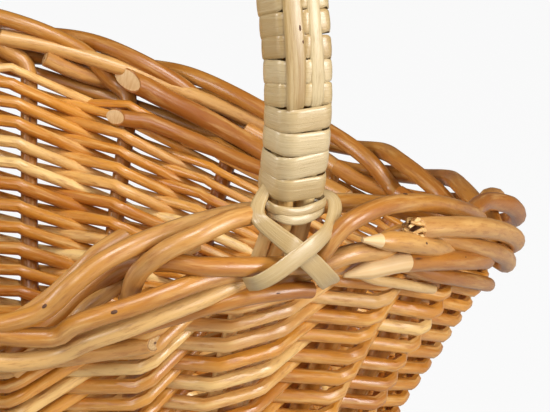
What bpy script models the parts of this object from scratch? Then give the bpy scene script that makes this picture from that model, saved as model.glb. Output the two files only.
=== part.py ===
"""Round wicker knitting basket with a fixed bow handle, built rod by rod.

Frame: metres, +Z up, origin on the ground under the middle of the base. The handle stands in
the YZ plane, with its front foot at -Y. The two long sides of the rim, at +X and -X, dip.

Construction, as a basket maker works it: a cross of base sticks fans out into spokes, and two
weavers pair round them. Twenty-four stakes turn up at the edge of the base over a foot ring.
Twenty-four weavers climb the sides together in French randing, each passing in front of one
stake and behind the next. At the top every stake kneels over to the right and is worked down
into the border: behind one stake, over the top, in front of two and in again. The bow handle
runs down into the weave beside a stake at each end, is wrapped with split skein over two
leaders, and is tied to the border with a crossed skein.
"""

import math

import bpy
import bmesh
from mathutils import Vector

# Body of the basket
STAKE_COUNT = 24
STAKE_PHASE_DEG = -0.9
RIM_RADIUS_AT_HANDLE = 0.154
RIM_RADIUS_SIDEWAYS = 0.153
RIM_HEIGHT_AT_HANDLE = 0.162
RIM_DIP_SIDEWAYS = 0.046
RIM_DIP_POWER = 1.76
BASE_EDGE_RADIUS = 0.082
BASE_EDGE_HEIGHT = 0.016
WALL_BELLY_SHARE = 0.12
CLEARANCE = 0.0003

# Stakes, which also make the border
STAKE_RADIUS = 0.0031
STAKE_SIDES = 5
STAKE_WALL_STEPS = 5
STAKE_KNEE_RADIUS = 0.0075
STAKE_TAIL_LENGTH = 0.0100
STAKE_TAIL_HEIGHT = 0.0093
BORDER_STEPS_PER_STAKE = 3
BORDER_END_LENGTH = 0.0014

# Route of a bent-down stake through the border. The first value counts stakes passed, the
# second and third are the way out from the wall and the height over the rim line, in border
# pitches. A border pitch is one rod and its clearance.
BORDER_ROUTE_SHARES = (
    (0.0, 0.0, 0.0),
    (0.5, -0.62, 0.05),
    (1.0, -1.02, 0.32),
    (1.5, 0.0, 1.36),
    (2.0, 1.02, 0.36),
    (2.5, 1.16, -0.2),
    (3.0, 1.16, -0.84),
    (3.5, 0.0, -1.42),
    (4.0, -1.06, -0.86),
)

# Side weave
WEAVE_ROUNDS = 12
WEAVER_SIDES = 4
WEAVER_RADIUS_LIMIT = 0.0023
WEAVER_END_LENGTH = 0.005
WEAVE_TOP_DEPTH = 0.018
WEAVE_FOOT_RISE = 0.0055

# Base: sticks pierced through each other in the middle and fanned out as spokes
BASE_STICKS_EACH_WAY = 3
BASE_STICK_RADIUS = 0.0021
BASE_STICK_SIDES = 6
BASE_STICK_SPACING = 0.0056
BASE_CROSS_HALF = 0.0100
BASE_CROSS_LIFT = 0.0006
BASE_SPOKE_INSET = 0.0035
BASE_WEAVE_START = 0.0245
BASE_WEAVE_INSET = 0.0070
BASE_WEAVER_RADIUS = 0.0020
BASE_WEAVER_SIDES = 4
BASE_WEAVER_PITCH = 0.0050
BASE_WEAVER_REST = 0.0010

# Foot ring, which the basket stands on
FOOT_RING_INSET = 0.0040
FOOT_RING_WIDTH = 0.0090
FOOT_RING_SEGMENTS = 48
FOOT_RING_CROWN_STEPS = 6
FOOT_RING_FACE_WIDTH = 0.0060

# Bow handle
BOW_FOOT_SPREAD = 0.0060
BOW_CENTRE_RISE = 0.048
BOW_RISE = 0.145
BOW_WIDTH = 0.0142
BOW_THICKNESS = 0.0084
BOW_CHAMFER = 0.0022
BOW_STEPS = 30
BOW_SHOULDER_HEIGHT = 0.0130
BOW_LEG_WIDTH = 0.0068
BOW_LEG_THICKNESS = 0.0052
BOW_LEG_CHAMFER = 0.0017
BOW_LEG_TIP_WIDTH = 0.0030
BOW_LEG_LENGTH = 0.070
BOW_LEG_STEPS = 4
BOW_LEG_TOP_HEIGHT = 0.0060

# Skein wrap on the handle
SKEIN_THICKNESS = 0.0008
WRAP_PITCH = 0.0066
WRAP_TURNS = 12
WRAP_EDGE_GAP = 0.0008
WRAP_START = 0.0066
WRAP_CLEARANCE = 0.0005

# Leaders that run along the outer face of the wrapped handle
LEADER_THICKNESS = 0.0009
LEADER_BROAD_WIDTH = 0.0068
LEADER_BROAD_OFFSET = -0.0034
LEADER_NARROW_WIDTH = 0.0040
LEADER_NARROW_OFFSET = 0.0033
LEADER_START_TURNS = 4.2

# Crossed skein that ties each handle foot to the border
TIE_WIDTH = 0.0052
TIE_THICKNESS = 0.0007
TIE_TOP_HEIGHT = 0.0160
TIE_SIDE_REACH = 0.0080
TIE_FOOT_SPREAD = 0.0115
TIE_UNDER_HEIGHT = -0.0134
TIE_CROSS_LIFT = 0.0016
TIE_STEPS = 2
TIE_BROW_SHARE = 0.33

# Finish
STAKE_ROUGHNESS = 0.35
WEAVER_ROUGHNESS = 0.42
BASE_ROUGHNESS = 0.45
BOW_ROUGHNESS = 0.4
SKEIN_ROUGHNESS = 0.38
ROD_SMOOTH_ANGLE_DEG = 75
FLAT_SMOOTH_ANGLE_DEG = 35

BUFF_WILLOW = (0.62, 0.33, 0.11)
BUFF_WEAVER = (0.66, 0.37, 0.13)
BUFF_BASE = (0.55, 0.30, 0.11)
BOW_WILLOW = (0.68, 0.45, 0.20)
PALE_SKEIN = (0.79, 0.65, 0.43)


# Shape of the wall


def dip_share(angle):
    """Return how far the rim has dipped at an angle, from 0 at the handle to 1 at a side."""
    return abs(math.sin(angle)) ** RIM_DIP_POWER


def rim_radius(angle):
    side = math.sin(angle) ** 2
    return RIM_RADIUS_AT_HANDLE + (RIM_RADIUS_SIDEWAYS - RIM_RADIUS_AT_HANDLE) * side


def rim_height(angle):
    return RIM_HEIGHT_AT_HANDLE - RIM_DIP_SIDEWAYS * dip_share(angle)


def wall_depth(angle):
    return rim_height(angle) - BASE_EDGE_HEIGHT


def polar(angle, radius, height):
    """Return a point at an angle counted from the front foot, anticlockwise from above."""
    return Vector((math.sin(angle) * radius, -math.cos(angle) * radius, height))


def wall_point(angle, depth_share, out=0.0, aside=0.0):
    """Return a point on the wall, 0 at the rim line and 1 at the base edge.

    out is the distance outwards, square to the wall, and aside the distance round it.
    """
    belly = WALL_BELLY_SHARE
    reach = rim_radius(angle) - BASE_EDGE_RADIUS
    drawn_in = (1 + belly) * depth_share - belly * depth_share ** 2
    slope = reach * ((1 + belly) - 2 * belly * depth_share)
    fall = wall_depth(angle)
    length = math.hypot(slope, fall)
    radius = rim_radius(angle) - reach * drawn_in
    height = rim_height(angle) - fall * depth_share
    turned = angle + aside / radius
    return polar(turned, radius + out * fall / length, height - out * slope / length)


def rim_point(angle, out, above, aside=0.0):
    """Return a point by its distance out from the rim line and above it, along the wall's lean."""
    turned = angle + aside / rim_radius(angle)
    slope = (rim_radius(turned) - BASE_EDGE_RADIUS) * (1 + WALL_BELLY_SHARE)
    fall = wall_depth(turned)
    length = math.hypot(slope, fall)
    radius = rim_radius(turned) + (out * fall + above * slope) / length
    return polar(turned, radius, rim_height(turned) + (above * fall - out * slope) / length)


def stake_angle(index):
    return math.radians(STAKE_PHASE_DEG + index * 360 / STAKE_COUNT)


def is_handle_post(index):
    return index % (STAKE_COUNT // 2) == 0


def post_aside():
    """Return how far the stake and the bow's leg stand from the middle of their post."""
    return (STAKE_RADIUS + CLEARANCE + BOW_LEG_WIDTH / 2) / 2


def stake_aside(index):
    return post_aside() if is_handle_post(index) else 0.0


def post_asides(index):
    """Return the places round the wall at which a rod passes a post."""
    if is_handle_post(index):
        return (-post_aside(), post_aside())
    return (0.0,)


# Mesh building


def clear_scene():
    for thing in list(bpy.data.objects):
        bpy.data.objects.remove(thing, do_unlink=True)


def willow_material(name, colour, roughness):
    material = bpy.data.materials.new(name)
    material.use_nodes = True
    shader = material.node_tree.nodes["Principled BSDF"]
    shader.inputs["Base Color"].default_value = (*colour, 1)
    shader.inputs["Roughness"].default_value = roughness
    shader.inputs["Metallic"].default_value = 0
    material.diffuse_color = (*colour, 1)
    return material


def add_object(name, mesh_builder, colour, roughness, smooth_angle_deg):
    bmesh.ops.recalc_face_normals(mesh_builder, faces=mesh_builder.faces)
    if mesh_builder.calc_volume(signed=True) < 0:
        bmesh.ops.reverse_faces(mesh_builder, faces=mesh_builder.faces)
    mesh = bpy.data.meshes.new(name)
    mesh_builder.to_mesh(mesh)
    mesh_builder.free()
    mesh.materials.append(willow_material(name, colour, roughness))
    mesh.shade_smooth()
    mesh.set_sharp_from_angle(angle=math.radians(smooth_angle_deg))
    made = bpy.data.objects.new(name, mesh)
    bpy.context.scene.collection.objects.link(made)
    return made


def join_rings(builder, rings, closed, paired=False):
    """Skin a list of equal rings of points, with caps where the run has ends.

    paired splits opposite sides along the same diagonals, as a thin twisted strip needs.
    """
    made = [[builder.verts.new(point) for point in ring] for ring in rings]
    count = len(made[0])
    pairs = list(zip(made, made[1:]))
    if closed:
        pairs.append((made[-1], made[0]))
    for first, second in pairs:
        for here in range(count):
            after = (here + 1) % count
            corners = (first[here], first[after], second[after], second[here])
            if paired and here >= count // 2:
                corners = corners[1:] + corners[:1]
            builder.faces.new(corners)
    if not closed:
        builder.faces.new(list(reversed(made[0])))
        builder.faces.new(made[-1])
    return made


def run_directions(points, closed):
    """Return the direction of travel at each point of a run."""
    directions = []
    last = len(points) - 1
    for index, point in enumerate(points):
        before = points[index - 1] if index or closed else point
        after = points[(index + 1) % len(points)] if index < last or closed else point
        directions.append((after - before).normalized())
    return directions


def rod_rings(points, radii, sides, outward, closed=False):
    """Return the rings of a round rod. outward gives the wall's outward way at each point."""
    rings = []
    for point, radius, ahead, out in zip(points, radii, run_directions(points, closed), outward):
        across = ahead.cross(out).normalized()
        normal = across.cross(ahead).normalized()
        ring = []
        for side in range(sides):
            turn = 2 * math.pi * side / sides
            ring.append(point + normal * radius * math.cos(turn) + across * radius * math.sin(turn))
        rings.append(ring)
    return rings


def strip_rings(points, width, thickness, outward, closed=False):
    """Return the rings of a flat strip, whose flat side faces the outward way."""
    rings = []
    for point, ahead, out in zip(points, run_directions(points, closed), outward):
        across = ahead.cross(out).normalized() * width / 2
        normal = across.cross(ahead).normalized() * thickness / 2
        rings.append([point + normal + across, point + normal - across,
                      point - normal - across, point - normal + across])
    return rings


def smooth_run(points, steps):
    """Return a smooth curve through points, with a number of steps between each pair."""
    run = []
    last = len(points) - 1
    for index in range(last):
        start, end = points[index], points[index + 1]
        before = points[index - 1] if index else start * 2 - end
        after = points[index + 2] if index + 2 <= last else end * 2 - start
        for step in range(steps):
            share = step / steps
            run.append((2 * start
                        + (end - before) * share
                        + (2 * before - 5 * start + 4 * end - after) * share ** 2
                        + (3 * start - before - 3 * end + after) * share ** 3) / 2)
    run.append(points[-1].copy())
    return run


def radial(point):
    return Vector((point.x, point.y, 0)).normalized()


# Side weave


def weave_depth(angle, rounds_up):
    """Return the depth share of the weave at a count of rounds above its foot."""
    fall = wall_depth(angle)
    top = WEAVE_TOP_DEPTH / fall
    foot = 1 - WEAVE_FOOT_RISE / fall
    rise = rounds_up / WEAVE_ROUNDS
    even = foot + (top - foot) * rise
    lean = (rim_radius(angle) - BASE_EDGE_RADIUS) / fall
    return even - weave_crowding(lean) * rise * (1 - rise)


def weave_crowding(lean):
    """Return how much the lower rounds close up, so that rounds stay even along the slant."""
    return WALL_BELLY_SHARE * lean ** 2 / (2 * (1 + lean ** 2))


def weaver_radius(angle, rounds_up):
    """Return the weaver's radius: as thick as the pitch of the rounds allows."""
    below = wall_point(angle, weave_depth(angle, rounds_up - 1 / 4))
    above = wall_point(angle, weave_depth(angle, rounds_up + 1 / 4))
    climb = (above - below).length
    spacing = 2 * math.pi * below.xy.length / STAKE_COUNT
    packed = climb * spacing / math.hypot(climb, spacing)
    return min(WEAVER_RADIUS_LIMIT, (packed - CLEARANCE) / 2)


def weaver_lift(angle, rounds_up, at_handle):
    """Return how far out a weaver must stand to clear the stake that it passes."""
    place = wall_point(angle, weave_depth(angle, rounds_up))
    spacing = 2 * math.pi * place.xy.length / STAKE_COUNT
    if at_handle:
        spacing -= post_aside()
    touch = STAKE_RADIUS + weaver_radius(angle, rounds_up) + CLEARANCE
    return touch / math.sqrt(1 - 4 * touch ** 2 / spacing ** 2)


def make_weaver(number):
    """Make one weaver: in front of one stake and behind the next, up the whole side."""
    points = []
    radii = []
    for passed in range(-1, 2 * WEAVE_ROUNDS):
        index = number + passed
        rounds_up = (passed + 1) / 2
        in_front = passed % 2 == 0
        angle = stake_angle(index)
        beside_handle = any(is_handle_post(near) for near in (index - 1, index, index + 1))
        lift = weaver_lift(angle, rounds_up, beside_handle)
        out = lift if in_front else -lift
        asides = list(post_asides(index))
        if passed == -1:
            asides.insert(0, asides[0] - WEAVER_END_LENGTH)
        if passed == 2 * WEAVE_ROUNDS - 1:
            asides.append(asides[-1] + WEAVER_END_LENGTH)
        for aside in asides:
            points.append(wall_point(angle, weave_depth(angle, rounds_up), out, aside))
            radii.append(weaver_radius(angle, rounds_up))
    builder = bmesh.new()
    outward = [radial(point) for point in points]
    join_rings(builder, rod_rings(points, radii, WEAVER_SIDES, outward), closed=False)
    name = f"weaver_{number + 1:02d}"
    add_object(name, builder, BUFF_WEAVER, WEAVER_ROUGHNESS, ROD_SMOOTH_ANGLE_DEG)


# Stakes and border


def border_pitch():
    return 2 * STAKE_RADIUS + CLEARANCE


def border_keys(index):
    """Return the points that a bent-down stake passes through in the border."""
    pitch = border_pitch()
    keys = []
    for passed, out, above in BORDER_ROUTE_SHARES[1:]:
        near = index + int(passed)
        if passed == int(passed):
            for aside in post_asides(near):
                keys.append(rim_point(stake_angle(near), out * pitch, above * pitch, aside))
        else:
            angle = (stake_angle(near) + stake_angle(near + 1)) / 2
            keys.append(rim_point(angle, out * pitch, above * pitch))
    return keys


def stake_run(index):
    """Return the whole run of a stake: tail, wall, knee and border."""
    angle = stake_angle(index)
    aside = stake_aside(index)
    foot_angle = angle + aside / BASE_EDGE_RADIUS
    tail = polar(foot_angle, BASE_EDGE_RADIUS - STAKE_TAIL_LENGTH, STAKE_TAIL_HEIGHT)
    heel = polar(foot_angle, BASE_EDGE_RADIUS - STAKE_RADIUS, STAKE_TAIL_HEIGHT)
    run = [tail, heel]
    knee_depth = STAKE_KNEE_RADIUS / wall_depth(angle)
    for step in range(STAKE_WALL_STEPS):
        share = 1 + (knee_depth - 1) * step / (STAKE_WALL_STEPS - 1)
        run.append(wall_point(angle, share, 0, aside))
    half_turn = STAKE_KNEE_RADIUS * (1 - math.sqrt(1 / 2))
    run.append(rim_point(angle, 0, -half_turn - STAKE_RADIUS / 2, aside + half_turn))
    run.append(rim_point(angle, 0, -STAKE_RADIUS / 2, aside + STAKE_KNEE_RADIUS))
    border = [run[-1]] + border_keys(index)
    run = run[:-1] + smooth_run(border, BORDER_STEPS_PER_STAKE - 1)
    run.append(run[-1] + (run[-1] - run[-2]).normalized() * BORDER_END_LENGTH)
    return run


def make_stake(index):
    run = stake_run(index)
    builder = bmesh.new()
    rings = []
    normal = radial(run[0]).cross(Vector((0, 0, 1)))
    reference = normal.cross((run[1] - run[0]).normalized()).normalized()
    for point, ahead in zip(run, run_directions(run, closed=False)):
        across = ahead.cross(reference).normalized()
        reference = across.cross(ahead).normalized()
        ring = []
        for side in range(STAKE_SIDES):
            turn = 2 * math.pi * side / STAKE_SIDES
            way = reference * math.cos(turn) + across * math.sin(turn)
            ring.append(point + way * STAKE_RADIUS)
        rings.append(ring)
    join_rings(builder, rings, closed=False)
    name = f"stake_{index + 1:02d}"
    add_object(name, builder, BUFF_WILLOW, STAKE_ROUGHNESS, ROD_SMOOTH_ANGLE_DEG)


# Base and foot


def foot_crown_height():
    """Return the top of the foot ring, on which the flat undersides of the stakes lie."""
    return STAKE_TAIL_HEIGHT - STAKE_RADIUS * math.cos(math.pi / STAKE_SIDES) - CLEARANCE


def base_height():
    return foot_crown_height() + CLEARANCE + BASE_STICK_RADIUS


def foot_ring_radius():
    return BASE_EDGE_RADIUS - FOOT_RING_INSET


def spoke_count():
    return 4 * BASE_STICKS_EACH_WAY


def spoke_angle(index):
    """Return a spoke's angle. Each spoke lies midway between two stakes."""
    half_gap = 180 / STAKE_COUNT
    return math.radians(STAKE_PHASE_DEG + half_gap + index * 360 / spoke_count())


def base_stick(group, row):
    """Build one base stick as an object: a tip, the cross in the middle and the other tip."""
    middle_row = (BASE_STICKS_EACH_WAY - 1) / 2
    first = group * BASE_STICKS_EACH_WAY + row
    ends = (first, first + 3 * BASE_STICKS_EACH_WAY - 1 - 2 * row)
    heart = spoke_angle(group * BASE_STICKS_EACH_WAY + middle_row)
    along = polar(heart, 1, 0)
    across = polar(heart + math.pi / 2, 1, 0)
    offset = across * BASE_STICK_SPACING * (row - middle_row)
    lift = BASE_CROSS_LIFT if group else -BASE_CROSS_LIFT
    level = Vector((0, 0, base_height()))
    cross = level + Vector((0, 0, lift))
    points = []
    for end, way in zip(ends, (1, -1)):
        tip = polar(spoke_angle(end), BASE_EDGE_RADIUS - BASE_SPOKE_INSET, 0) + level
        fan = polar(spoke_angle(end), BASE_WEAVE_START, 0) + level
        neck = along * BASE_CROSS_HALF * way + offset + cross
        points += [tip, fan, neck] if way == 1 else [neck, fan, tip]
    rings = rod_rings(points, [BASE_STICK_RADIUS] * len(points), BASE_STICK_SIDES,
                      [Vector((0, 0, 1))] * len(points))
    builder = bmesh.new()
    join_rings(builder, rings, closed=False)
    name = f"base_stick_{group}_{row}"
    return add_object(name, builder, BUFF_BASE, BASE_ROUGHNESS, ROD_SMOOTH_ANGLE_DEG)


def make_base_sticks():
    """Make the pierced cross of base sticks as one solid."""
    sticks = [base_stick(group, row) for group in range(2) for row in range(BASE_STICKS_EACH_WAY)]
    whole = sticks[0]
    for other in sticks[1:]:
        union = whole.modifiers.new("pierced", "BOOLEAN")
        union.operation = "UNION"
        union.object = other
    graph = bpy.context.evaluated_depsgraph_get()
    mesh = bpy.data.meshes.new_from_object(whole.evaluated_get(graph))
    mesh.materials.clear()
    mesh.materials.append(willow_material("base_sticks", BUFF_BASE, BASE_ROUGHNESS))
    for stick in sticks:
        bpy.data.objects.remove(stick, do_unlink=True)
    made = bpy.data.objects.new("base_sticks", mesh)
    bpy.context.scene.collection.objects.link(made)


def make_base_weaver(name, first_over):
    """Make one of the two weavers that pair outwards round the spokes."""
    touch = BASE_STICK_RADIUS + BASE_WEAVER_RADIUS + CLEARANCE
    rest = BASE_STICK_RADIUS / 2 + BASE_WEAVER_REST
    width = BASE_EDGE_RADIUS - BASE_WEAVE_INSET - BASE_WEAVE_START
    turns = width / (2 * BASE_WEAVER_PITCH) - 1
    points = []
    for step in range(int(turns * spoke_count()) + 1):
        angle = spoke_angle(step if first_over else step + spoke_count() // 2)
        radius = BASE_WEAVE_START + BASE_WEAVER_PITCH * (1 + 2 * step / spoke_count())
        rise = touch if (step % 2 == 0) == first_over else -touch
        for aside in (-rest, rest):
            points.append(polar(angle + aside / radius, radius, base_height() + rise))
    builder = bmesh.new()
    up = [Vector((0, 0, 1))] * len(points)
    radii = [BASE_WEAVER_RADIUS] * len(points)
    join_rings(builder, rod_rings(points, radii, BASE_WEAVER_SIDES, up), closed=False)
    add_object(name, builder, BUFF_BASE, BASE_ROUGHNESS, ROD_SMOOTH_ANGLE_DEG)


def make_foot_ring():
    """Make the ring under the stakes, with a flat worn face that the basket stands on."""
    crown = foot_crown_height()
    inner = foot_ring_radius() - FOOT_RING_WIDTH / 2
    profile = [(foot_ring_radius() - FOOT_RING_FACE_WIDTH / 2, 0),
               (foot_ring_radius() + FOOT_RING_FACE_WIDTH / 2, 0)]
    for step in range(FOOT_RING_CROWN_STEPS + 1):
        turn = math.pi * step / FOOT_RING_CROWN_STEPS
        radius = foot_ring_radius() + FOOT_RING_WIDTH / 2 * math.cos(turn)
        profile.append((radius, crown / 2 + crown / 2 * math.sin(turn)))
    profile[-1] = (inner, crown / 2)
    rings = []
    for segment in range(FOOT_RING_SEGMENTS):
        angle = 2 * math.pi * segment / FOOT_RING_SEGMENTS
        rings.append([polar(angle, radius, height) for radius, height in profile])
    builder = bmesh.new()
    join_rings(builder, rings, closed=True)
    add_object("foot_ring", builder, BUFF_BASE, BASE_ROUGHNESS, ROD_SMOOTH_ANGLE_DEG)


# Bow handle


def bow_half_span():
    """Return half the arch's width, which follows the rim that its feet stand on."""
    return RIM_RADIUS_AT_HANDLE + BOW_FOOT_SPREAD


def bow_centre_height():
    return RIM_HEIGHT_AT_HANDLE + BOW_CENTRE_RISE


def bow_axis(turn):
    """Return the handle's centre line over the top, by its angle round the arch."""
    return Vector((0, -bow_half_span() * math.cos(turn), bow_centre_height() + BOW_RISE * math.sin(turn)))


def bow_turn_at_height(height):
    return math.asin((height - bow_centre_height()) / BOW_RISE)


def bow_out(turn):
    """Return the way out of the arch, square to its centre line."""
    return Vector((0, -math.cos(turn) * BOW_RISE, math.sin(turn) * bow_half_span())).normalized()


def bow_stations():
    """Return the centre, way out and length so far at each cross-section of the arch."""
    start = bow_turn_at_height(RIM_HEIGHT_AT_HANDLE + BOW_SHOULDER_HEIGHT)
    stations = []
    length = 0.0
    for step in range(BOW_STEPS + 1):
        turn = start + (math.pi - 2 * start) * step / BOW_STEPS
        centre = bow_axis(turn)
        if stations:
            length += (centre - stations[-1][0]).length
        stations.append((centre, bow_out(turn), length))
    return stations


def bow_place(stations, length, across, out):
    """Return a point beside the arch at a length along it, and the way out there."""
    for (centre, way, reached), (next_centre, next_way, next_reached) in zip(stations, stations[1:]):
        if length <= next_reached:
            share = (length - reached) / (next_reached - reached)
            here = centre + way * out
            there = next_centre + next_way * out
            point = here + (there - here) * share
            return point + Vector((across, 0, 0)), (way + (next_way - way) * share).normalized()
    raise ValueError("The length lies past the end of the arch.")


def chamfered(width, thickness, chamfer, spread=0.0):
    """Return the eight corners of a chamfered rectangle, as distances aside and out."""
    half_width = width / 2 + spread
    half_thick = thickness / 2 + spread
    cut = chamfer + spread * (2 - math.sqrt(2))
    return [(half_width, half_thick - cut), (half_width - cut, half_thick),
            (cut - half_width, half_thick), (-half_width, half_thick - cut),
            (-half_width, cut - half_thick), (cut - half_width, -half_thick),
            (half_width - cut, -half_thick), (half_width, cut - half_thick)]


def half_turned(point):
    """Turn a point half way round the basket, from the front foot to the back one."""
    return Vector((-point.x, -point.y, point.z))


def leg_sections():
    """Return the rings of the bow's front leg, from its tip in the weave to the shoulder."""
    angle = stake_angle(0)
    rings = []
    for step in range(BOW_LEG_STEPS + 1):
        share = step / BOW_LEG_STEPS
        depth = BOW_LEG_LENGTH * (1 - share) / wall_depth(angle)
        width = BOW_LEG_TIP_WIDTH + (BOW_LEG_WIDTH - BOW_LEG_TIP_WIDTH) * math.sqrt(share)
        aside = -post_aside() + (BOW_LEG_WIDTH - width) / 2
        chamfer = BOW_LEG_CHAMFER * width / BOW_LEG_WIDTH
        ring = []
        for across, out in chamfered(width, BOW_LEG_THICKNESS, chamfer):
            ring.append(wall_point(angle, depth, out, aside + across))
        rings.append(ring)
    top = [rim_point(angle, out, BOW_LEG_TOP_HEIGHT, -post_aside() + across)
           for across, out in chamfered(BOW_LEG_WIDTH, BOW_LEG_THICKNESS, BOW_LEG_CHAMFER)]
    rings.append(top)
    return rings


def make_bow(stations):
    """Make the bow: a leg at each end and a broad flat run over the top."""
    front = leg_sections()
    rings = list(front)
    for centre, way, _ in stations:
        rings.append([centre + Vector((across, 0, 0)) + way * out
                      for across, out in chamfered(BOW_WIDTH, BOW_THICKNESS, BOW_CHAMFER)])
    for ring in reversed(front):
        turned = [half_turned(point) for point in ring]
        rings.append(mirror_order(turned))
    builder = bmesh.new()
    join_rings(builder, rings, closed=False)
    add_object("handle_bow", builder, BOW_WILLOW, BOW_ROUGHNESS, FLAT_SMOOTH_ANGLE_DEG)


def mirror_order(ring):
    """Reorder a chamfered ring after a half turn, so that its corners match the arch's."""
    return [ring[index] for index in (3, 2, 1, 0, 7, 6, 5, 4)]


def make_wrap(name, stations, from_front):
    """Wind one foot of the handle with a single strip of skein."""
    corners = chamfered(BOW_WIDTH, BOW_THICKNESS, BOW_CHAMFER, WRAP_CLEARANCE + SKEIN_THICKNESS / 2)
    reach = stations[-1][2]
    points, outward = [], []
    for step in range(WRAP_TURNS * len(corners) + 1):
        along = WRAP_START + WRAP_PITCH * (step / len(corners) + 1 / 2)
        across, out = corners[step % len(corners)]
        point, way = bow_place(stations, along if from_front else reach - along, across, out)
        points.append(point)
        outward.append((Vector((across / BOW_WIDTH, 0, 0)) + way * out / BOW_THICKNESS).normalized())
    builder = bmesh.new()
    width = WRAP_PITCH - WRAP_EDGE_GAP
    join_rings(builder, strip_rings(points, width, SKEIN_THICKNESS, outward), closed=False)
    add_object(name, builder, PALE_SKEIN, SKEIN_ROUGHNESS, FLAT_SMOOTH_ANGLE_DEG)
    turn_points = len(corners)
    least = min((points[index + turn_points] - points[index]).length
                for index in range(len(points) - turn_points)) - width
    print(f"{name}: least gap between turns {least * 1000:.2f} mm")


def lengths_between(stations, margin):
    """Return the lengths at a margin from both ends and at the stations between them."""
    reach = stations[-1][2]
    inner = [length for _, _, length in stations if margin < length < reach - margin]
    return [margin] + inner + [reach - margin]


def make_wrap_top(stations):
    """Make the wrap over the top of the arch as one sleeve round the bow."""
    covered = WRAP_START + WRAP_PITCH * (WRAP_TURNS + 1) + CLEARANCE
    inner_shape = chamfered(BOW_WIDTH, BOW_THICKNESS, BOW_CHAMFER, WRAP_CLEARANCE)
    outer_shape = chamfered(BOW_WIDTH, BOW_THICKNESS, BOW_CHAMFER, WRAP_CLEARANCE + SKEIN_THICKNESS)
    builder = bmesh.new()
    skins = []
    for shape in (outer_shape, inner_shape):
        skin = []
        for along in lengths_between(stations, covered):
            ring = [bow_place(stations, along, across, out)[0] for across, out in shape]
            skin.append([builder.verts.new(point) for point in ring])
        skins.append(skin)
    corners = len(outer_shape)
    for skin in skins:
        for first, second in zip(skin, skin[1:]):
            for here in range(corners):
                after = (here + 1) % corners
                builder.faces.new((first[here], first[after], second[after], second[here]))
    for end in (0, -1):
        outer, inner = skins[0][end], skins[1][end]
        for here in range(corners):
            after = (here + 1) % corners
            builder.faces.new((outer[here], outer[after], inner[after], inner[here]))
    add_object("handle_wrap_top", builder, PALE_SKEIN, SKEIN_ROUGHNESS, FLAT_SMOOTH_ANGLE_DEG)


def make_leader(name, stations, width, offset):
    """Make one leader, laid along the outer face of the wrapped handle."""
    lift = BOW_THICKNESS / 2 + 2 * WRAP_CLEARANCE + SKEIN_THICKNESS + LEADER_THICKNESS / 2
    points, outward = [], []
    for along in lengths_between(stations, WRAP_START + WRAP_PITCH * LEADER_START_TURNS):
        point, way = bow_place(stations, along, offset, lift)
        points.append(point)
        outward.append(way)
    builder = bmesh.new()
    join_rings(builder, strip_rings(points, width, LEADER_THICKNESS, outward), closed=False)
    add_object(name, builder, PALE_SKEIN, SKEIN_ROUGHNESS, FLAT_SMOOTH_ANGLE_DEG)


def tie_keys():
    """Return the places of the crossed tie at the front foot, as aside, out and above."""
    pitch = border_pitch()
    skin = CLEARANCE + TIE_THICKNESS
    top = TIE_TOP_HEIGHT
    side = TIE_SIDE_REACH
    neck = BOW_THICKNESS / 2 + skin
    face = BORDER_ROUTE_SHARES[5][1] * pitch + STAKE_RADIUS + skin
    spread = TIE_FOOT_SPREAD
    under = TIE_UNDER_HEIGHT
    brow = BORDER_ROUTE_SHARES[4][2] * pitch
    low = BORDER_ROUTE_SHARES[6][2] * pitch
    under_out = STAKE_RADIUS * 2
    shift = math.radians(STAKE_PHASE_DEG) * RIM_RADIUS_AT_HANDLE
    half = []
    for way, lift in ((1, 0), (-1, TIE_CROSS_LIFT)):
        half.append((-way * side, neck, top))
        half.append((-way * side * TIE_BROW_SHARE, face + lift, brow + STAKE_RADIUS))
        half.append((way * spread / 2, face + lift, low / 2))
        half.append((shift + way * spread, face, low - STAKE_RADIUS))
        half.append((shift + way * spread, under_out, under))
        half.append((shift + way * spread, -under_out, under))
        half.append((shift + way * spread, -face, low - STAKE_RADIUS))
        half.append((shift + way * spread, -face, brow + STAKE_RADIUS))
        half.append((way * side, -neck, top))
        half.append((way * (side + skin), 0, top))
    return half


def in_steps(run, steps):
    """Return a closed run of vectors with evenly placed ones added between each pair."""
    finer = []
    for here, after in zip(run, run[1:] + run[:1]):
        for step in range(steps):
            finer.append(here + (after - here) * step / steps)
    return finer


def make_tie(name, at_back):
    """Tie a handle foot to the border with one closed, crossed strip of skein."""
    neck = bow_axis(bow_turn_at_height(RIM_HEIGHT_AT_HANDLE + TIE_TOP_HEIGHT))
    heart = rim_point(0, 0, (TIE_TOP_HEIGHT + TIE_UNDER_HEIGHT) / 2)
    points, outward = [], []
    for aside, out, above in tie_keys():
        if above == TIE_TOP_HEIGHT:
            way = Vector((aside, -out, 0))
            points.append(neck + way)
        else:
            points.append(rim_point(0, out, above, aside))
            way = points[-1] - heart
            way.x = 0
        outward.append(way.normalized())
    if at_back:
        points = [half_turned(point) for point in points]
        outward = [half_turned(way) for way in outward]
    points = in_steps(points, TIE_STEPS)
    outward = in_steps(outward, TIE_STEPS)
    builder = bmesh.new()
    rings = strip_rings(points, TIE_WIDTH, TIE_THICKNESS, outward, closed=True)
    join_rings(builder, rings, closed=True, paired=True)
    add_object(name, builder, PALE_SKEIN, SKEIN_ROUGHNESS, FLAT_SMOOTH_ANGLE_DEG)


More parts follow.
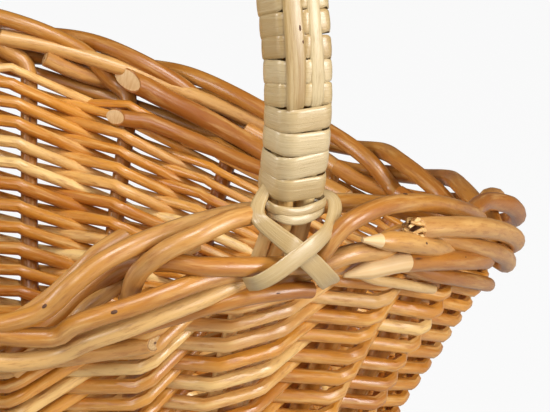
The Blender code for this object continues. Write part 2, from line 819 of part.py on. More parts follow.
def build_basket():
    clear_scene()
    make_foot_ring()
    make_base_sticks()
    make_base_weaver("base_weaver_a", first_over=True)
    make_base_weaver("base_weaver_b", first_over=False)
    for index in range(STAKE_COUNT):
        make_stake(index)
    for number in range(STAKE_COUNT):
        make_weaver(number)
    stations = bow_stations()
    make_bow(stations)
    make_wrap("handle_wrap_front", stations, from_front=True)
    make_wrap("handle_wrap_back", stations, from_front=False)
    make_wrap_top(stations)
    make_leader("leader_broad", stations, LEADER_BROAD_WIDTH, LEADER_BROAD_OFFSET)
    make_leader("leader_narrow", stations, LEADER_NARROW_WIDTH, LEADER_NARROW_OFFSET)
    make_tie("handle_tie_front", at_back=False)
    make_tie("handle_tie_back", at_back=True)


build_basket()
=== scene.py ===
"""Looks of the knitting basket: each willow rod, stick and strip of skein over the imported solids.

The shared frame is in metres, +Z up. The handle stands in the YZ plane and its front foot is at
-Y. Places on the wall are given as an angle from the front foot, anticlockwise from above, with a
distance out from the line of the stakes and a height above the rim line.
"""

import math

import bpy
import numpy as np
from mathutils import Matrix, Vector


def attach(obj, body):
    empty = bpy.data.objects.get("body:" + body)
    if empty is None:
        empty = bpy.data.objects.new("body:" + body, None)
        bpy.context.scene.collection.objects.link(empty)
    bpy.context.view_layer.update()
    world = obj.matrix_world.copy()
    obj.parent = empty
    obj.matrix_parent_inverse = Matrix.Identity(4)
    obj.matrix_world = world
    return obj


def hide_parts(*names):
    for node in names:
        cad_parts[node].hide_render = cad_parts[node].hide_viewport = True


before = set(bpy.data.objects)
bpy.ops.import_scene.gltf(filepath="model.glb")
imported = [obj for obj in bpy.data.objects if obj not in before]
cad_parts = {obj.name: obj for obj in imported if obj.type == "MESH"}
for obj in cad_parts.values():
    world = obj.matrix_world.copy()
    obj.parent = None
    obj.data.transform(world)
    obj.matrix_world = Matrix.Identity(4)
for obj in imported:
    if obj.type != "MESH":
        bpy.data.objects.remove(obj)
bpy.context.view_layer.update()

MM = 0.001

# Body, angles in degrees
STAKES = 24
STAKE_PHASE = -0.9
STAKE_WANDER = 0.9
WANDER_STEP = 2.4
FIRST_WANDERING = 2
LAST_WANDERING = 18
RIM_RADIUS = 0.154
RIM_RADIUS_SIDES = 0.153
RIM_HEIGHT = 0.162
RIM_DIP = 0.046
RIM_DIP_POWER = 1.76
EDGE_RADIUS = 0.082
EDGE_HEIGHT = 0.016
BELLY = 0.12

# Rods
STAKE_RADIUS = 3.1 * MM
BORDER_RADIUS = 3.05 * MM
WEAVER_RADIUS = 2.4 * MM
BORDER_PITCH = 6.5 * MM
FAR_BORDER_LIFT = 3.4 * MM
SIDE_INSET = 2.4 * MM

# Side weave: rows stay level up to the level row and follow the rim above it
ROUNDS = 19
WEAVE_TOP = 11.0 * MM
WEAVE_FOOT = 4.5 * MM
LEVEL_ROW = 0.130
FRONT_CLOSING = 0.08

# Handle
SPAN = 0.160
ARCH_CENTRE = 0.210
ARCH_RISE = 0.145
WRAP_PITCH = 6.7 * MM
WRAP_RIGHT = 7.7 * MM
WRAP_LEFT = -8.9 * MM
WRAP_OUTER = 4.75 * MM
WRAP_INNER = 7.6 * MM
WRAP_CORNER = 2.4 * MM
BOUND_CORNER = 4.2 * MM
INNER_CORNER = 4.6 * MM
DEEPENING = 2.5 * MM
DEEPENING_RUN = 30 * MM
BOUND_RISE = 1.25 * MM
WRAP_FOOT = 0.1785
BOUND_TURNS = 4


# Places on the wall


def rim_dip(angle):
    return RIM_DIP * abs(math.sin(angle)) ** RIM_DIP_POWER


def rim_radius(angle):
    return RIM_RADIUS + (RIM_RADIUS_SIDES - RIM_RADIUS) * math.sin(angle) ** 2


def rim_height(angle):
    return RIM_HEIGHT - rim_dip(angle)


def polar(angle, radius, height):
    return np.array((math.sin(angle) * radius, -math.cos(angle) * radius, height))


def wall_point(angle, share, out=0.0):
    """Return a point of the wall, 0 at the rim line and 1 at the base edge."""
    reach = rim_radius(angle) - EDGE_RADIUS
    fall = rim_height(angle) - EDGE_HEIGHT
    slope = reach * ((1 + BELLY) - 2 * BELLY * share)
    length = math.hypot(slope, fall)
    radius = rim_radius(angle) - reach * ((1 + BELLY) * share - BELLY * share ** 2)
    height = rim_height(angle) - fall * share
    return polar(angle, radius + out * fall / length, height - out * slope / length)


def rim_point(angle, out, above, aside=0.0):
    """Return a point by its distance out from the rim line and above it, along the wall's lean."""
    angle += aside / rim_radius(angle)
    slope = (rim_radius(angle) - EDGE_RADIUS) * (1 + BELLY)
    fall = rim_height(angle) - EDGE_HEIGHT
    length = math.hypot(slope, fall)
    radius = rim_radius(angle) + (out * fall + above * slope) / length
    return polar(angle, radius, rim_height(angle) + (above * fall - out * slope) / length)


def far_lift(angle):
    """Return how far the border stands higher on the far side."""
    return FAR_BORDER_LIFT * (1 - math.cos(angle)) / 2


def stake_angle(index):
    """Return a stake's angle, with a little wander away from the handle's feet."""
    free = FIRST_WANDERING <= index % STAKES <= LAST_WANDERING and index % (STAKES // 2)
    wander = STAKE_WANDER * math.sin(WANDER_STEP * index) if free else 0.0
    return math.radians(STAKE_PHASE + index * 360 / STAKES + wander)


def unit(vectors):
    return vectors / np.maximum(np.linalg.norm(vectors, axis=-1, keepdims=True), 1e-12)


# Making rods and strips

# For each kind of rod or strip: where its grain starts in the endless pattern and the step from
# one to the next, the first seed if it has random draws, how far apart its rings of points lie in
# millimetres if they are spaced along keys, and how many points a rod's ring has.
GRAIN_STARTS = {"stake": (3.1, 2.7), "filler": (90, 3.3), "splinter": (130, 1), "weaver": (150, 5.1),
                "base_stick": (400, 2.9), "base_weaver": (440, 40), "foot_ring": (500, 9),
                "core_rod": (540, 3), "leader": (569, 9), "wrap": (600, 1.7), "tie": (640, 3)}
SEEDS = {"stake": 0, "filler": 60, "splinter": 31, "weaver": 200, "base_stick": 300, "base_weaver": 320,
         "leader": 1, "wrap": 700}
RING_SPACING = {"stake": 2.2, "filler": 1.5, "splinter": 0.5, "weaver": 2.4, "base_stick": 3,
                "base_weaver": 2.6, "core_rod": 4, "tie": 0.8}
RING_POINTS = {"stake": 12, "filler": 16, "splinter": 6, "weaver": 9, "base_stick": 10, "base_weaver": 8,
               "foot_ring": 9, "core_rod": 12}

# The way that a rod's grain seam first looks, and the slow swellings of its thickness.
SEAM_WAY = np.array((0.1, 0.2, 1.0))
SWELLINGS = 4
SWELLING = 0.018

# A cut end in radii: how far it stands out, its size at the edge, and how far back a slanted cut
# moves the rod's surface for each step that its own edge is moved.
END_RISE = 0.12
END_SIZE = 0.84
CUT_REACH = 2.2

# The section of a split strip: places across its width, and heights in half thicknesses.
STRIP_PLACES = np.array((-1.0, -0.94, -0.7, -0.25, 0.25, 0.7, 0.94, 1.0, 0.9, -0.9))
STRIP_HEIGHTS = np.array((0.0, 0.55, 0.82, 1.0, 1.0, 0.82, 0.55, 0.0, -0.4, -0.4))


def grain_start(kind, number):
    start, step = GRAIN_STARTS[kind]
    return start + step * number


def luck(kind, number):
    """Return the random draws of one rod or strip."""
    return np.random.default_rng(SEEDS[kind] + number)


def run_lengths(line):
    """Return how far along the line each of its points is."""
    return np.concatenate([[0], np.cumsum(np.linalg.norm(np.diff(line, axis=0), axis=1))])


def eased(keys, kind):
    """Return a smooth line through keys: a place, with any further columns carried along."""
    spacing = RING_SPACING[kind] * MM
    keys = np.array(keys, float)
    before = np.vstack([2 * keys[0] - keys[1], keys[:-2], keys[-2:-1]])[:len(keys) - 1]
    after = np.vstack([keys[2:], 2 * keys[-1] - keys[-2]])
    line = []
    for a, b, c, d in zip(before, keys[:-1], keys[1:], after):
        steps = max(1, int(np.linalg.norm((c - b)[:3]) / spacing))
        for t in np.arange(steps) / steps:
            line.append((2 * b + (c - a) * t + (2 * a - 5 * b + 4 * c - d) * t ** 2
                         + (3 * b - a - 3 * c + d) * t ** 3) / 2)
    line.append(keys[-1])
    return np.array(line)


def directions(line, closed=False):
    if closed:
        return unit(np.roll(line, -1, axis=0) - np.roll(line, 1, axis=0))
    return unit(np.gradient(line, axis=0))


def carried(ahead, first):
    """Carry a first sideways direction along a line without twist."""
    normals = [unit(first - ahead[0] * np.dot(first, ahead[0]))]
    for way in ahead[1:]:
        side = normals[-1] - way * np.dot(normals[-1], way)
        normals.append(unit(side))
    return np.array(normals)


class Bundle:
    """Gathers the meshes of several rods or strips for one object."""

    def __init__(self):
        self.points, self.faces, self.maps, self.finish = [], [], [], []
        self.count = 0

    def add(self, points, faces, maps, finish):
        self.points.append(np.asarray(points).reshape(-1, 3))
        for face, places, which in zip(faces, maps, finish):
            self.faces.append(tuple(int(v) + self.count for v in face))
            self.maps.append(places)
            self.finish.append(which)
        self.count += len(self.points[-1])

    def tube(self, kind, number, line, radii, cut=None, bare=0.0):
        """Add a rod along a line. Its kind and number pick its own stretch of grain.

        cut gives the way that the cut face at the start looks, None for straight. bare is the
        length at the start that is shaved to the wood.
        """
        wood_start, sides = grain_start(kind, number), RING_POINTS[kind]
        line = np.asarray(line, float)
        radii = np.broadcast_to(np.asarray(radii, float), (len(line),))
        ahead = directions(line)
        normal = carried(ahead, SEAM_WAY)
        across = np.cross(ahead, normal)
        ends = [0] + list(range(len(line))) + [-1]
        centre = line[ends]
        centre[0] -= ahead[0] * radii[0] * END_RISE
        centre[-1] += ahead[-1] * radii[-1] * END_RISE
        grown = radii[ends]
        grown[[0, -1]] *= END_SIZE
        lengths = run_lengths(line)[ends]
        turn = 2 * math.pi * np.arange(sides) / sides
        ring = (np.cos(turn)[None, :, None] * normal[ends][:, None, :]
                + np.sin(turn)[None, :, None] * across[ends][:, None, :]) * grown[:, None, None]
        points = centre[:, None, :] + ring
        if cut is not None:
            way = unit(np.asarray(cut, float))
            shift = -(ring[0] @ way) / float(ahead[0] @ way)
            share = np.clip(1 - lengths / (CUT_REACH * np.abs(shift).max()), 0, 1)
            points = points + ahead[ends][:, None, :] * (share[:, None] * shift[None, :])[..., None]
        rows = len(centre)
        faces, maps, finish = [], [], []
        for row in range(rows - 1):
            low, high = row * sides, (row + 1) * sides
            here, there = lengths[row] + wood_start, lengths[row + 1] + wood_start
            for side in range(sides):
                after = (side + 1) % sides
                faces.append((low + side, low + after, high + after, high + side))
                share, share_after = side / sides, (side + 1) / sides
                maps.append(((here, share), (here, share_after), (there, share_after), (there, share)))
                finish.append(1 if lengths[row] < bare else 0)
        disc = tuple((0.5 + 0.5 * math.cos(t), 0.5 + 0.5 * math.sin(t)) for t in turn)
        faces.append(tuple(reversed(range(sides))))
        maps.append(tuple(reversed(disc)))
        faces.append(tuple((rows - 1) * sides + side for side in range(sides)))
        maps.append(disc)
        finish += [1, 1]
        self.add(points, faces, maps, finish)

    def strip(self, wood_start, line, outward, width, thickness, crown, closed=False):
        """Add a split strip with a crowned face. outward points away from what it lies on."""
        line = np.asarray(line, float)
        ahead = directions(line, closed)
        outward = np.asarray(outward, float)
        outward = unit(outward - ahead * (outward * ahead).sum(1, keepdims=True))
        across = np.cross(ahead, outward)
        width = np.broadcast_to(np.asarray(width, float), (len(line),))
        rise = (np.maximum(STRIP_HEIGHTS, 0) * crown + STRIP_HEIGHTS * thickness / 2)[None, :]
        aside = STRIP_PLACES[None, :] * width[:, None] / 2
        points = (line[:, None, :] + across[:, None, :] * aside[..., None]
                  + outward[:, None, :] * rise[..., None])
        along = run_lengths(line) + wood_start
        rows, sides = len(line), len(STRIP_PLACES)
        faces, maps, finish = [], [], []
        for row in range(rows if closed else rows - 1):
            following = (row + 1) % rows
            low, high = row * sides, following * sides
            here = along[row]
            there = along[following] if following else here + 2 * MM
            for side in range(sides):
                after = (side + 1) % sides
                faces.append((low + after, low + side, high + side, high + after))
                share, share_after = STRIP_PLACES[side] / 2 + 0.5, STRIP_PLACES[after] / 2 + 0.5
                maps.append(((here, share_after), (here, share), (there, share), (there, share_after)))
                finish.append(0)
        if not closed:
            flat_map = tuple((along[0], place / 2 + 0.5) for place in STRIP_PLACES)
            faces.append(tuple(range(sides)))
            maps.append(flat_map)
            faces.append(tuple((rows - 1) * sides + side for side in reversed(range(sides))))
            maps.append(tuple(reversed(flat_map)))
            finish += [0, 0]
        self.add(points, faces, maps, finish)

    def make(self, name, finishes, replaces, sharp=40):
        mesh = bpy.data.meshes.new(name)
        mesh.from_pydata(np.vstack(self.points).tolist(), [], self.faces)
        for finish in finishes:
            mesh.materials.append(finish)
        layer = mesh.uv_layers.new(name="grain")
        layer.data.foreach_set("uv", np.array([p for face in self.maps for p in face], float).ravel())
        mesh.polygons.foreach_set("material_index", self.finish)
        mesh.validate()
        mesh.shade_smooth()
        mesh.set_sharp_from_angle(angle=math.radians(sharp))
        piece = bpy.data.objects.new(name, mesh)
        bpy.context.scene.collection.objects.link(piece)
        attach(piece, "root")
        if replaces:
            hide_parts(*replaces)
        return piece


def grown_radii(count, butt, tip, own):
    """Return a rod's radii: a slow taper with the small swellings of real willow."""
    place = np.linspace(0, 1, count)
    swell = sum(own.uniform(-1, 1) * np.sin(place * own.uniform(4, 30) + own.uniform(0, 6))
                for _ in range(SWELLINGS))
    return (butt + (tip - butt) * place) * (1 + SWELLING * swell)


# Finishes

# The grain's depth in metres, and the roughness of the thin varnish over it.
GRAIN_DEPTH = 0.0004
COAT_ROUGHNESS = 0.23


def node_group(name, inputs, outputs):
    group = bpy.data.node_groups.new(name, "ShaderNodeTree")
    for label, kind, value in inputs:
        socket = group.interface.new_socket(name=label, in_out="INPUT", socket_type=kind)
        socket.default_value = value
    for label, kind in outputs:
        group.interface.new_socket(name=label, in_out="OUTPUT", socket_type=kind)
    return group, group.nodes.new("NodeGroupInput"), group.nodes.new("NodeGroupOutput")


def link(tree, start, end):
    tree.links.new(start, end)


def math_node(tree, operation, first, second):
    node = tree.nodes.new("ShaderNodeMath")
    node.operation = operation
    for socket, value in zip(node.inputs, (first, second)):
        if isinstance(value, (int, float)):
            socket.default_value = value
        else:
            link(tree, value, socket)
    return node.outputs[0]


def vector_node(tree, operation, first, second=None):
    node = tree.nodes.new("ShaderNodeVectorMath")
    node.operation = operation
    link(tree, first, node.inputs[0])
    if isinstance(second, tuple):
        node.inputs[1].default_value = second
    elif second is not None:
        link(tree, second, node.inputs[1])
    return node.outputs["Value" if operation == "LENGTH" else "Vector"]


def stretched(tree, source, along, around):
    """Return the grain map stretched along and around the rod."""
    return vector_node(tree, "MULTIPLY", source, (along, around, 1))


def noise(tree, vector, scale, detail, roughness=0.55):
    node = tree.nodes.new("ShaderNodeTexNoise")
    node.inputs["Scale"].default_value = scale
    node.inputs["Detail"].default_value = detail
    node.inputs["Roughness"].default_value = roughness
    link(tree, vector, node.inputs["Vector"])
    return node.outputs["Fac"]


def ramp(tree, value, low, high, start=0.0, end=1.0):
    node = tree.nodes.new("ShaderNodeMapRange")
    node.inputs["From Min"].default_value = low
    node.inputs["From Max"].default_value = high
    node.inputs["To Min"].default_value = start
    node.inputs["To Max"].default_value = end
    link(tree, value, node.inputs["Value"])
    return node.outputs["Result"]


def mixed(tree, share, first, second):
    node = tree.nodes.new("ShaderNodeMix")
    node.data_type = "RGBA"
    link(tree, share, node.inputs["Factor"])
    for socket, value in ((node.inputs[6], first), (node.inputs[7], second)):
        if isinstance(value, tuple):
            socket.default_value = value
        else:
            link(tree, value, socket)
    return node.outputs[2]


def grain_map(tree):
    """Return the map that every rod and strip carries: length along it and share round it."""
    source = tree.nodes.new("ShaderNodeUVMap")
    source.uv_map = "grain"
    return source.outputs[0]


def new_finish(name):
    """Return a new material with its tree and its shader."""
    material = bpy.data.materials.new(name)
    material.use_nodes = True
    return material, material.node_tree, material.node_tree.nodes["Principled BSDF"]


def make_willow_grain():
    """Make the group that colours willow: each rod's own tone, slow patches, streaks, fibre, scars."""
    group, given, result = node_group(
        "willow_grain",
        [("Body", "NodeSocketColor", (0.5, 0.25, 0.06, 1)), ("Deep", "NodeSocketColor", (0.3, 0.1, 0.02, 1)),
         ("Straw", "NodeSocketColor", (0.7, 0.45, 0.2, 1)), ("Streaks", "NodeSocketFloat", 0.5),
         ("Fibre", "NodeSocketFloat", 14.0), ("Scars", "NodeSocketFloat", 0.6)],
        [("Color", "NodeSocketColor"), ("Height", "NodeSocketFloat"), ("Roughness", "NodeSocketFloat")])
    grain = grain_map(group)
    body, deep, straw, streaks, scars = (given.outputs[label]
                                         for label in ("Body", "Deep", "Straw", "Streaks", "Scars"))
    slow = noise(group, stretched(group, grain, 14, 0.9), 1.0, 3.0)
    rod_tone = noise(group, stretched(group, grain, 2.2, 0.0), 1.0, 0.0)
    long_streaks = noise(group, stretched(group, grain, 42, 8), 1.0, 4.0, 0.6)
    wide = group.nodes.new("ShaderNodeCombineXYZ")
    wide.inputs[0].default_value = 150
    wide.inputs[2].default_value = 1
    link(group, given.outputs["Fibre"], wide.inputs[1])
    fibre = noise(group, vector_node(group, "MULTIPLY", grain, wide.outputs[0]), 1.0, 5.0, 0.65)
    toned = mixed(group, ramp(group, slow, 0.42, 0.7, 0.0, 0.75), body, deep)
    toned = mixed(group, ramp(group, rod_tone, 0.5, 0.28, 0.0, 0.6), toned, deep)
    toned = mixed(group, ramp(group, rod_tone, 0.49, 0.68, 0.0, 0.85), toned, straw)
    streak_share = math_node(group, "MULTIPLY", ramp(group, long_streaks, 0.5, 0.72), streaks)
    toned = mixed(group, streak_share, toned, straw)
    deep_share = math_node(group, "MULTIPLY", ramp(group, fibre, 0.5, 0.3), streaks)
    toned = mixed(group, deep_share, toned, deep)
    scar = group.nodes.new("ShaderNodeTexVoronoi")
    scar.inputs["Scale"].default_value = 1.0
    link(group, stretched(group, grain, 19, 1.7), scar.inputs["Vector"])
    away = scar.outputs["Distance"]
    spot = math_node(group, "MULTIPLY", ramp(group, away, 0.05, 0.02), scars)
    ring = math_node(group, "MULTIPLY", ramp(group, away, 0.13, 0.05), scars)
    toned = mixed(group, math_node(group, "MULTIPLY", ring, 0.45), toned, deep)
    toned = mixed(group, spot, toned, (0.06, 0.016, 0.004, 1))
    link(group, toned, result.inputs["Color"])
    height = math_node(group, "ADD", math_node(group, "MULTIPLY", fibre, 0.6),
                       math_node(group, "MULTIPLY", long_streaks, 0.8))
    height = math_node(group, "SUBTRACT", height, math_node(group, "MULTIPLY", spot, 0.8))
    link(group, height, result.inputs["Height"])
    link(group, ramp(group, long_streaks, 0.3, 0.75, 0.34, 0.5), result.inputs["Roughness"])
    return group


def willow_finish(name, body, deep, straw, streaks, fibre, scars, bump, coat):
    material, tree, shader = new_finish(name)
    grain = tree.nodes.new("ShaderNodeGroup")
    grain.node_tree = WILLOW_GRAIN
    for label, value in (("Body", (*body, 1)), ("Deep", (*deep, 1)), ("Straw", (*straw, 1)),
                         ("Streaks", streaks), ("Fibre", fibre), ("Scars", scars)):
        grain.inputs[label].default_value = value
    link(tree, grain.outputs["Color"], shader.inputs["Base Color"])
    link(tree, grain.outputs["Roughness"], shader.inputs["Roughness"])
    raised = tree.nodes.new("ShaderNodeBump")
    raised.inputs["Strength"].default_value = bump
    raised.inputs["Distance"].default_value = GRAIN_DEPTH
    link(tree, grain.outputs["Height"], raised.inputs["Height"])
    link(tree, raised.outputs["Normal"], shader.inputs["Normal"])
    shader.inputs["Coat Weight"].default_value = coat
    shader.inputs["Coat Roughness"].default_value = COAT_ROUGHNESS
    material.diffuse_color = (*body, 1)
    return material


def cut_end_finish(name, pith_width, rough_share):
    """Make the cut end of a rod: bark rim, pale wood and a soft brown pith."""
    material, tree, shader = new_finish(name)
    shader.inputs["Roughness"].default_value = 0.7
    disc = grain_map(tree)
    from_pith = vector_node(tree, "LENGTH", vector_node(tree, "SUBTRACT", disc, (0.5, 0.5, 0)))
    rough = noise(tree, disc, 9.0, 4.0)
    reach = math_node(tree, "ADD", from_pith, math_node(tree, "MULTIPLY", rough, rough_share))
    pith = ramp(tree, reach, pith_width + 0.06, pith_width)
    wood = mixed(tree, ramp(tree, rough, 0.35, 0.7), (0.66, 0.44, 0.2, 1), (0.46, 0.25, 0.09, 1))
    wood = mixed(tree, pith, wood, (0.13, 0.055, 0.02, 1))
    wood = mixed(tree, ramp(tree, reach, 0.47, 0.53), wood, (0.3, 0.13, 0.035, 1))
    link(tree, wood, shader.inputs["Base Color"])
    return material


def bud_scar_finish():
    material, tree, shader = new_finish("bud_scar")
    shader.inputs["Roughness"].default_value = 0.6
    shader.inputs["Base Color"].default_value = (0.1, 0.035, 0.01, 1)
    return material


def scarf_finish():
    """Make the pale wood of a long slanted cut."""
    material, tree, shader = new_finish("scarf_cut")
    shader.inputs["Roughness"].default_value = 0.5
    fibre = noise(tree, stretched(tree, grain_map(tree), 1.2, 12), 1.0, 4.0)
    wood = mixed(tree, ramp(tree, fibre, 0.4, 0.7), (0.76, 0.53, 0.27, 1), (0.64, 0.38, 0.15, 1))
    link(tree, wood, shader.inputs["Base Color"])
    return material


WILLOW_GRAIN = make_willow_grain()
BUFF_ROD = willow_finish("buff_rod", (0.49, 0.196, 0.022), (0.28, 0.07, 0.005), (0.76, 0.46, 0.16),
                         streaks=0.55, fibre=14.0, scars=0.8, bump=0.5, coat=0.4)
BUFF_WEAVER = willow_finish("buff_weaver", (0.7, 0.295, 0.034), (0.41, 0.115, 0.008), (0.97, 0.69, 0.28),
                            streaks=0.6, fibre=9.0, scars=0.6, bump=0.5, coat=0.45)
BUFF_BASE = willow_finish("buff_base", (0.55, 0.24, 0.045), (0.32, 0.1, 0.015), (0.72, 0.4, 0.12),
                          streaks=0.5, fibre=9.0, scars=0.5, bump=0.5, coat=0.2)
# The rods inside the grip are golden willow. Their colour here is paler than that wood, as painted light
# that makes up for the shade of the wrap over them. The torn end's splinters share this finish.
CORE_ROD = willow_finish("core_rod", (0.8, 0.5, 0.17), (0.55, 0.26, 0.06), (0.88, 0.64, 0.3),
                         streaks=0.5, fibre=12.0, scars=0.2, bump=0.5, coat=0.3)
PEELED_ROD = willow_finish("peeled_rod", (0.8, 0.52, 0.2), (0.56, 0.28, 0.08), (0.86, 0.64, 0.32),
                           streaks=0.5, fibre=12.0, scars=0.1, bump=0.5, coat=0.4)
SKEIN = willow_finish("peeled_skein", (0.54, 0.385, 0.175), (0.39, 0.235, 0.075), (0.65, 0.51, 0.29),
                      streaks=0.55, fibre=20.0, scars=0.06, bump=0.6, coat=0.65)
LEADER = willow_finish("leader_skein", (0.5, 0.35, 0.145), (0.31, 0.17, 0.048), (0.62, 0.48, 0.26),
                       streaks=0.7, fibre=15.0, scars=0.25, bump=0.6, coat=0.5)
BUD_SCAR = bud_scar_finish()
CUT_END = cut_end_finish("cut_end", 0.12, 0.12)
CRACKED_END = cut_end_finish("cracked_end", 0.5, 0.4)
SCARF = scarf_finish()


# Stakes and border

# A stake's tail under the base, in millimetres: how far inside the base edge, and the height.
STAKE_TAIL = ((10, 9.3), (4.4, 9.2), (1.2, 11))

# Its keys up the wall: how many, and the first one's share of the way down from the rim line.
WALL_KEYS = 9
WALL_START = 0.97

# A stake's turn from the wall into the border, in millimetres: above the rim line and aside. A
# stake at the handle's foot steps aside for the handle's rods.
TURN_START = 7.5
TURN_KEYS = ((-3.6, 2.2), (-1.5, 7.5))
FOOT_ASIDE = 3.4
FOOT_WALL_TOP = 0.12
TIP_SHARE = 0.92

# The plain run of a stake through the border: stakes passed, then the way out and the height
# in border pitches.
BORDER_RUN = ((0.5, -0.68, 0.22), (1.0, -0.95, 0.72), (1.5, -0.08, 1.08), (2.0, 0.8, 0.82),
              (2.5, 0.98, 0.3), (3.0, 1.02, -0.38), (3.5, 0.05, -0.85), (3.85, -0.7, -0.8))

# The border at the front foot of the handle, rod by rod: degrees round the rim, then out and above
# in millimetres. The first number of each entry is the stake that the rod grows from.
FOOT_RODS = {
    19: ((-75.9, 2.5, -8.5), (-72, -1, -0.5), (-62, -6.5, 0), (-52, -4, 7), (-44, 4.5, 5.5), (-36, 9, -2),
         (-30, 10.5, -7.5), (-26, 10.5, -8.5), (-23.5, 11, -6), (-20, 11.5, -4.5), (-16.5, 11, -3.5),
         (-12, 9, -4), (-8, 7, -4), (-5, 3.5, -6)),
    20: ((-60.9, 2.5, -8.5), (-57, -1, -0.5), (-48, -6.5, 0.5), (-40, -2, 7.5), (-33, 6.5, 3.5),
         (-27, 9.5, -1.5), (-25, 10, 1.5), (-22.5, 10.5, 3), (-18.5, 10.5, 3.5), (-14.5, 9.5, 4),
         (-11.5, 7.5, 2.5), (-7.5, 5.5, -0.5), (-3.5, 5, -2.5), (0, 7, -1.5), (1.8, 8, 2), (2.8, 7.5, 7),
         (4.6, 6.5, 12), (9, 4, 14), (15, 1, 12), (22.5, -2, 8), (31, -4, 4), (41, -5.5, 0.5),
         (50, -5, -4.5)),
    21: ((-45.9, 2.5, -8.5), (-43, 0, 0), (-38, 1.5, 6.5), (-33, 5.5, 5.5), (-28, 6.5, 7), (-25, 5, 13),
         (-22, 2, 15.5), (-18, -1.5, 15), (-13, -5, 12.5), (-8.5, -7.5, 9.5), (-4, -10.5, 5.5),
         (1, -11.5, 1.5)),
    22: ((-30.9, 0, -18), (-29.6, 0.5, -11), (-26.5, 0, -7.5), (-22.5, -2.5, -0.5), (-19, -2.5, 5.5),
         (-15.5, 3, 9.5), (-12, 6.5, 7.5), (-6.5, 8, 3.5), (-0.5, 8.5, -0.5), (3, 8, -3.5),
         (6.5, 5.5, -6.5), (10, 2, -7.5)),
    23: ((-16, 0, -24), (-17, 0.5, -15), (-18.6, 2, -8.5), (-18.5, 2, 0.5), (-18, 3, 8.5),
         (-15.8, 3.5, 14.5), (-12.8, 3, 16.5), (-9, 0, 16), (-5.3, -3, 12.5), (-1, -8.5, 8), (4, -9, 5),
         (8.5, -9, 4.5), (13.5, -8.5, 3.5), (19, -8.5, 1.5), (28, -7.5, -3.5), (38, -5, -7.5),
         (46, -4, -11.5)),
    0: ((-0.9, 0, -26), (-0.4, 1, -16), (0.2, 5, -8.5), (1, 8, -4), (3.2, 8.5, -1), (6.3, 8.5, 1),
        (10.6, 7.5, -0.5), (15, 4.5, -3.5), (20, 1, -8), (26, -4.5, -11.5)),
    1: ((14.1, 0, -19.5), (14.6, -1, -8.5), (17, -0.5, -2), (20, 4, 0.5), (23, 6, 0.5), (29.5, 8.5, -1),
        (38, 9.5, -3.5), (46, 8.5, -8), (54, 0.5, -9), (60, -5.5, -7)),
}

# The torn rod end: its place in degrees round the rim, its splinters, their thickness in
# millimetres with its share at the root and the tip, and how far they reach and stray at each step.
TORN_TURN = 15.4
SPLINTERS = 9
SPLINTER_RADIUS = 0.8
SPLINTER_TAPER = (1.1, 0.6)
SPLINTER_STEP = 0.9
SPLINTER_STRAY = 0.7

# Pieces let in to fill the border: name, butt and tip radius in millimetres, the way that the cut
# at the start looks (aside, out, above) or None for straight, and the route.
FILLERS = (
    ("cut_rod_low", 2.3, 2.5, None,
     ((-24, 5.5, -13), (-19, 6.5, -11.5), (-13.3, 8, -9.5), (-10.4, 9.5, -7.5), (-6.3, 10.5, -6.5),
      (-1.6, 11, -7.5), (1.4, 11, -9))),
    ("cut_rod_slant", 3, 3.1, None,
     ((6.2, 9.6, 7.2), (8.6, 9.8, 6.2), (12.2, 9.6, 4.6), (17, 8.8, 1.2), (24, 6, -3.5), (31, 2.5, -8.5),
      (36, -1, -11.5))),
    ("wedge_rod_low", 3, 2.9, None,
     ((5.4, 10.4, -5.8), (8, 10.4, -4.8), (11, 10.4, -3.8), (14, 10.4, -3.2), (22, 10.2, -4),
      (30.5, 9.5, -5), (37, 6, -7.5), (43, -1, -8.5), (48, -5.5, -5.5))),
    ("butt_rod", 3.3, 2.9, (-0.9, 0.25, 0.2),
     ((TORN_TURN, 6, 6), (19.2, 6.5, 6.5), (27, 7.5, 6.5), (35, 8, 4.5), (42, 8, 1), (50, 3.5, -5),
      (57, -4, -8.5))),
    ("inside_butt", 3, 2.6, (0.8, -0.5, 0.4),
     ((-18.6, -10, 9), (-21.8, -9, 6), (-24.6, -7.5, 0), (-29, -5, -5.5), (-35, -3, -9))),
    ("under_rod", 2.6, 2.2, None,
     ((-31, 7, -14.5), (-25.5, 4, -7), (-22.8, 1.5, -2), (-19.8, -1, 0), (-16, -5, 0), (-10, -8, 0))),
    ("low_rod_right", 2.5, 2.2, None,
     ((17, 3.5, -10), (21.6, 8, -11), (25, 9.5, -11.5), (33, 10, -13.5), (41, 9.5, -15.5),
      (48, 5, -18.5))),
    ("peeled_weaver", 1.7, 1.5, None,
     ((8.9, 2.5, -10.4), (12, 6.6, -12.6), (17.5, 7.4, -15.2), (22, 7.2, -17.4), (26, 6.2, -19.2))),
    ("left_butt", 2.5, 2.3, (0.6, 0.8, 0.1),
     ((-15.6, 7.6, -19.1), (-18.2, 7.6, -18.1), (-20.5, 7.4, -17.4), (-22.7, 7.2, -16.6),
      (-25, 6.8, -15.9), (-29, 4.5, -15.6), (-34, 0, -15.6))),
    ("far_rod_outer", 2.8, 2.6, None,
     ((155, 5, -5), (146, 5.6, -6), (136, 5.6, -6.5), (126, 5.6, -6.5), (116, 5.4, -6.5), (106, 4.6, -7),
      (96, 2, -9))),
    ("far_rod_inner", 2.8, 2.6, None,
     ((152, -3.5, 2), (144, -5.6, 2.7), (134, -5.5, 2.8), (126, -5.6, 2.2), (118, -5.6, 1.6), (108, -5, 0),
      (99, -3, -4))),
    ("far_butt_high", 3.8, 2.9, (0.49, -0.82, 0.25),
     ((134.3, -8, -1.2), (131.4, -8.2, -2), (128.6, -8.2, -3.2), (122.8, -8, -4.8), (116, -7.6, -7),
      (108, -6.5, -9.5), (98, -4, -11))),
    ("far_butt_low", 2.9, 2.7, (0.49, -0.82, 0.25),
     ((135.4, -8, -16), (132.8, -8, -14.8), (130.4, -7.8, -13.4), (124, -7.2, -13.6), (116, -6, -13.8),
      (106, -4.5, -13))),
)

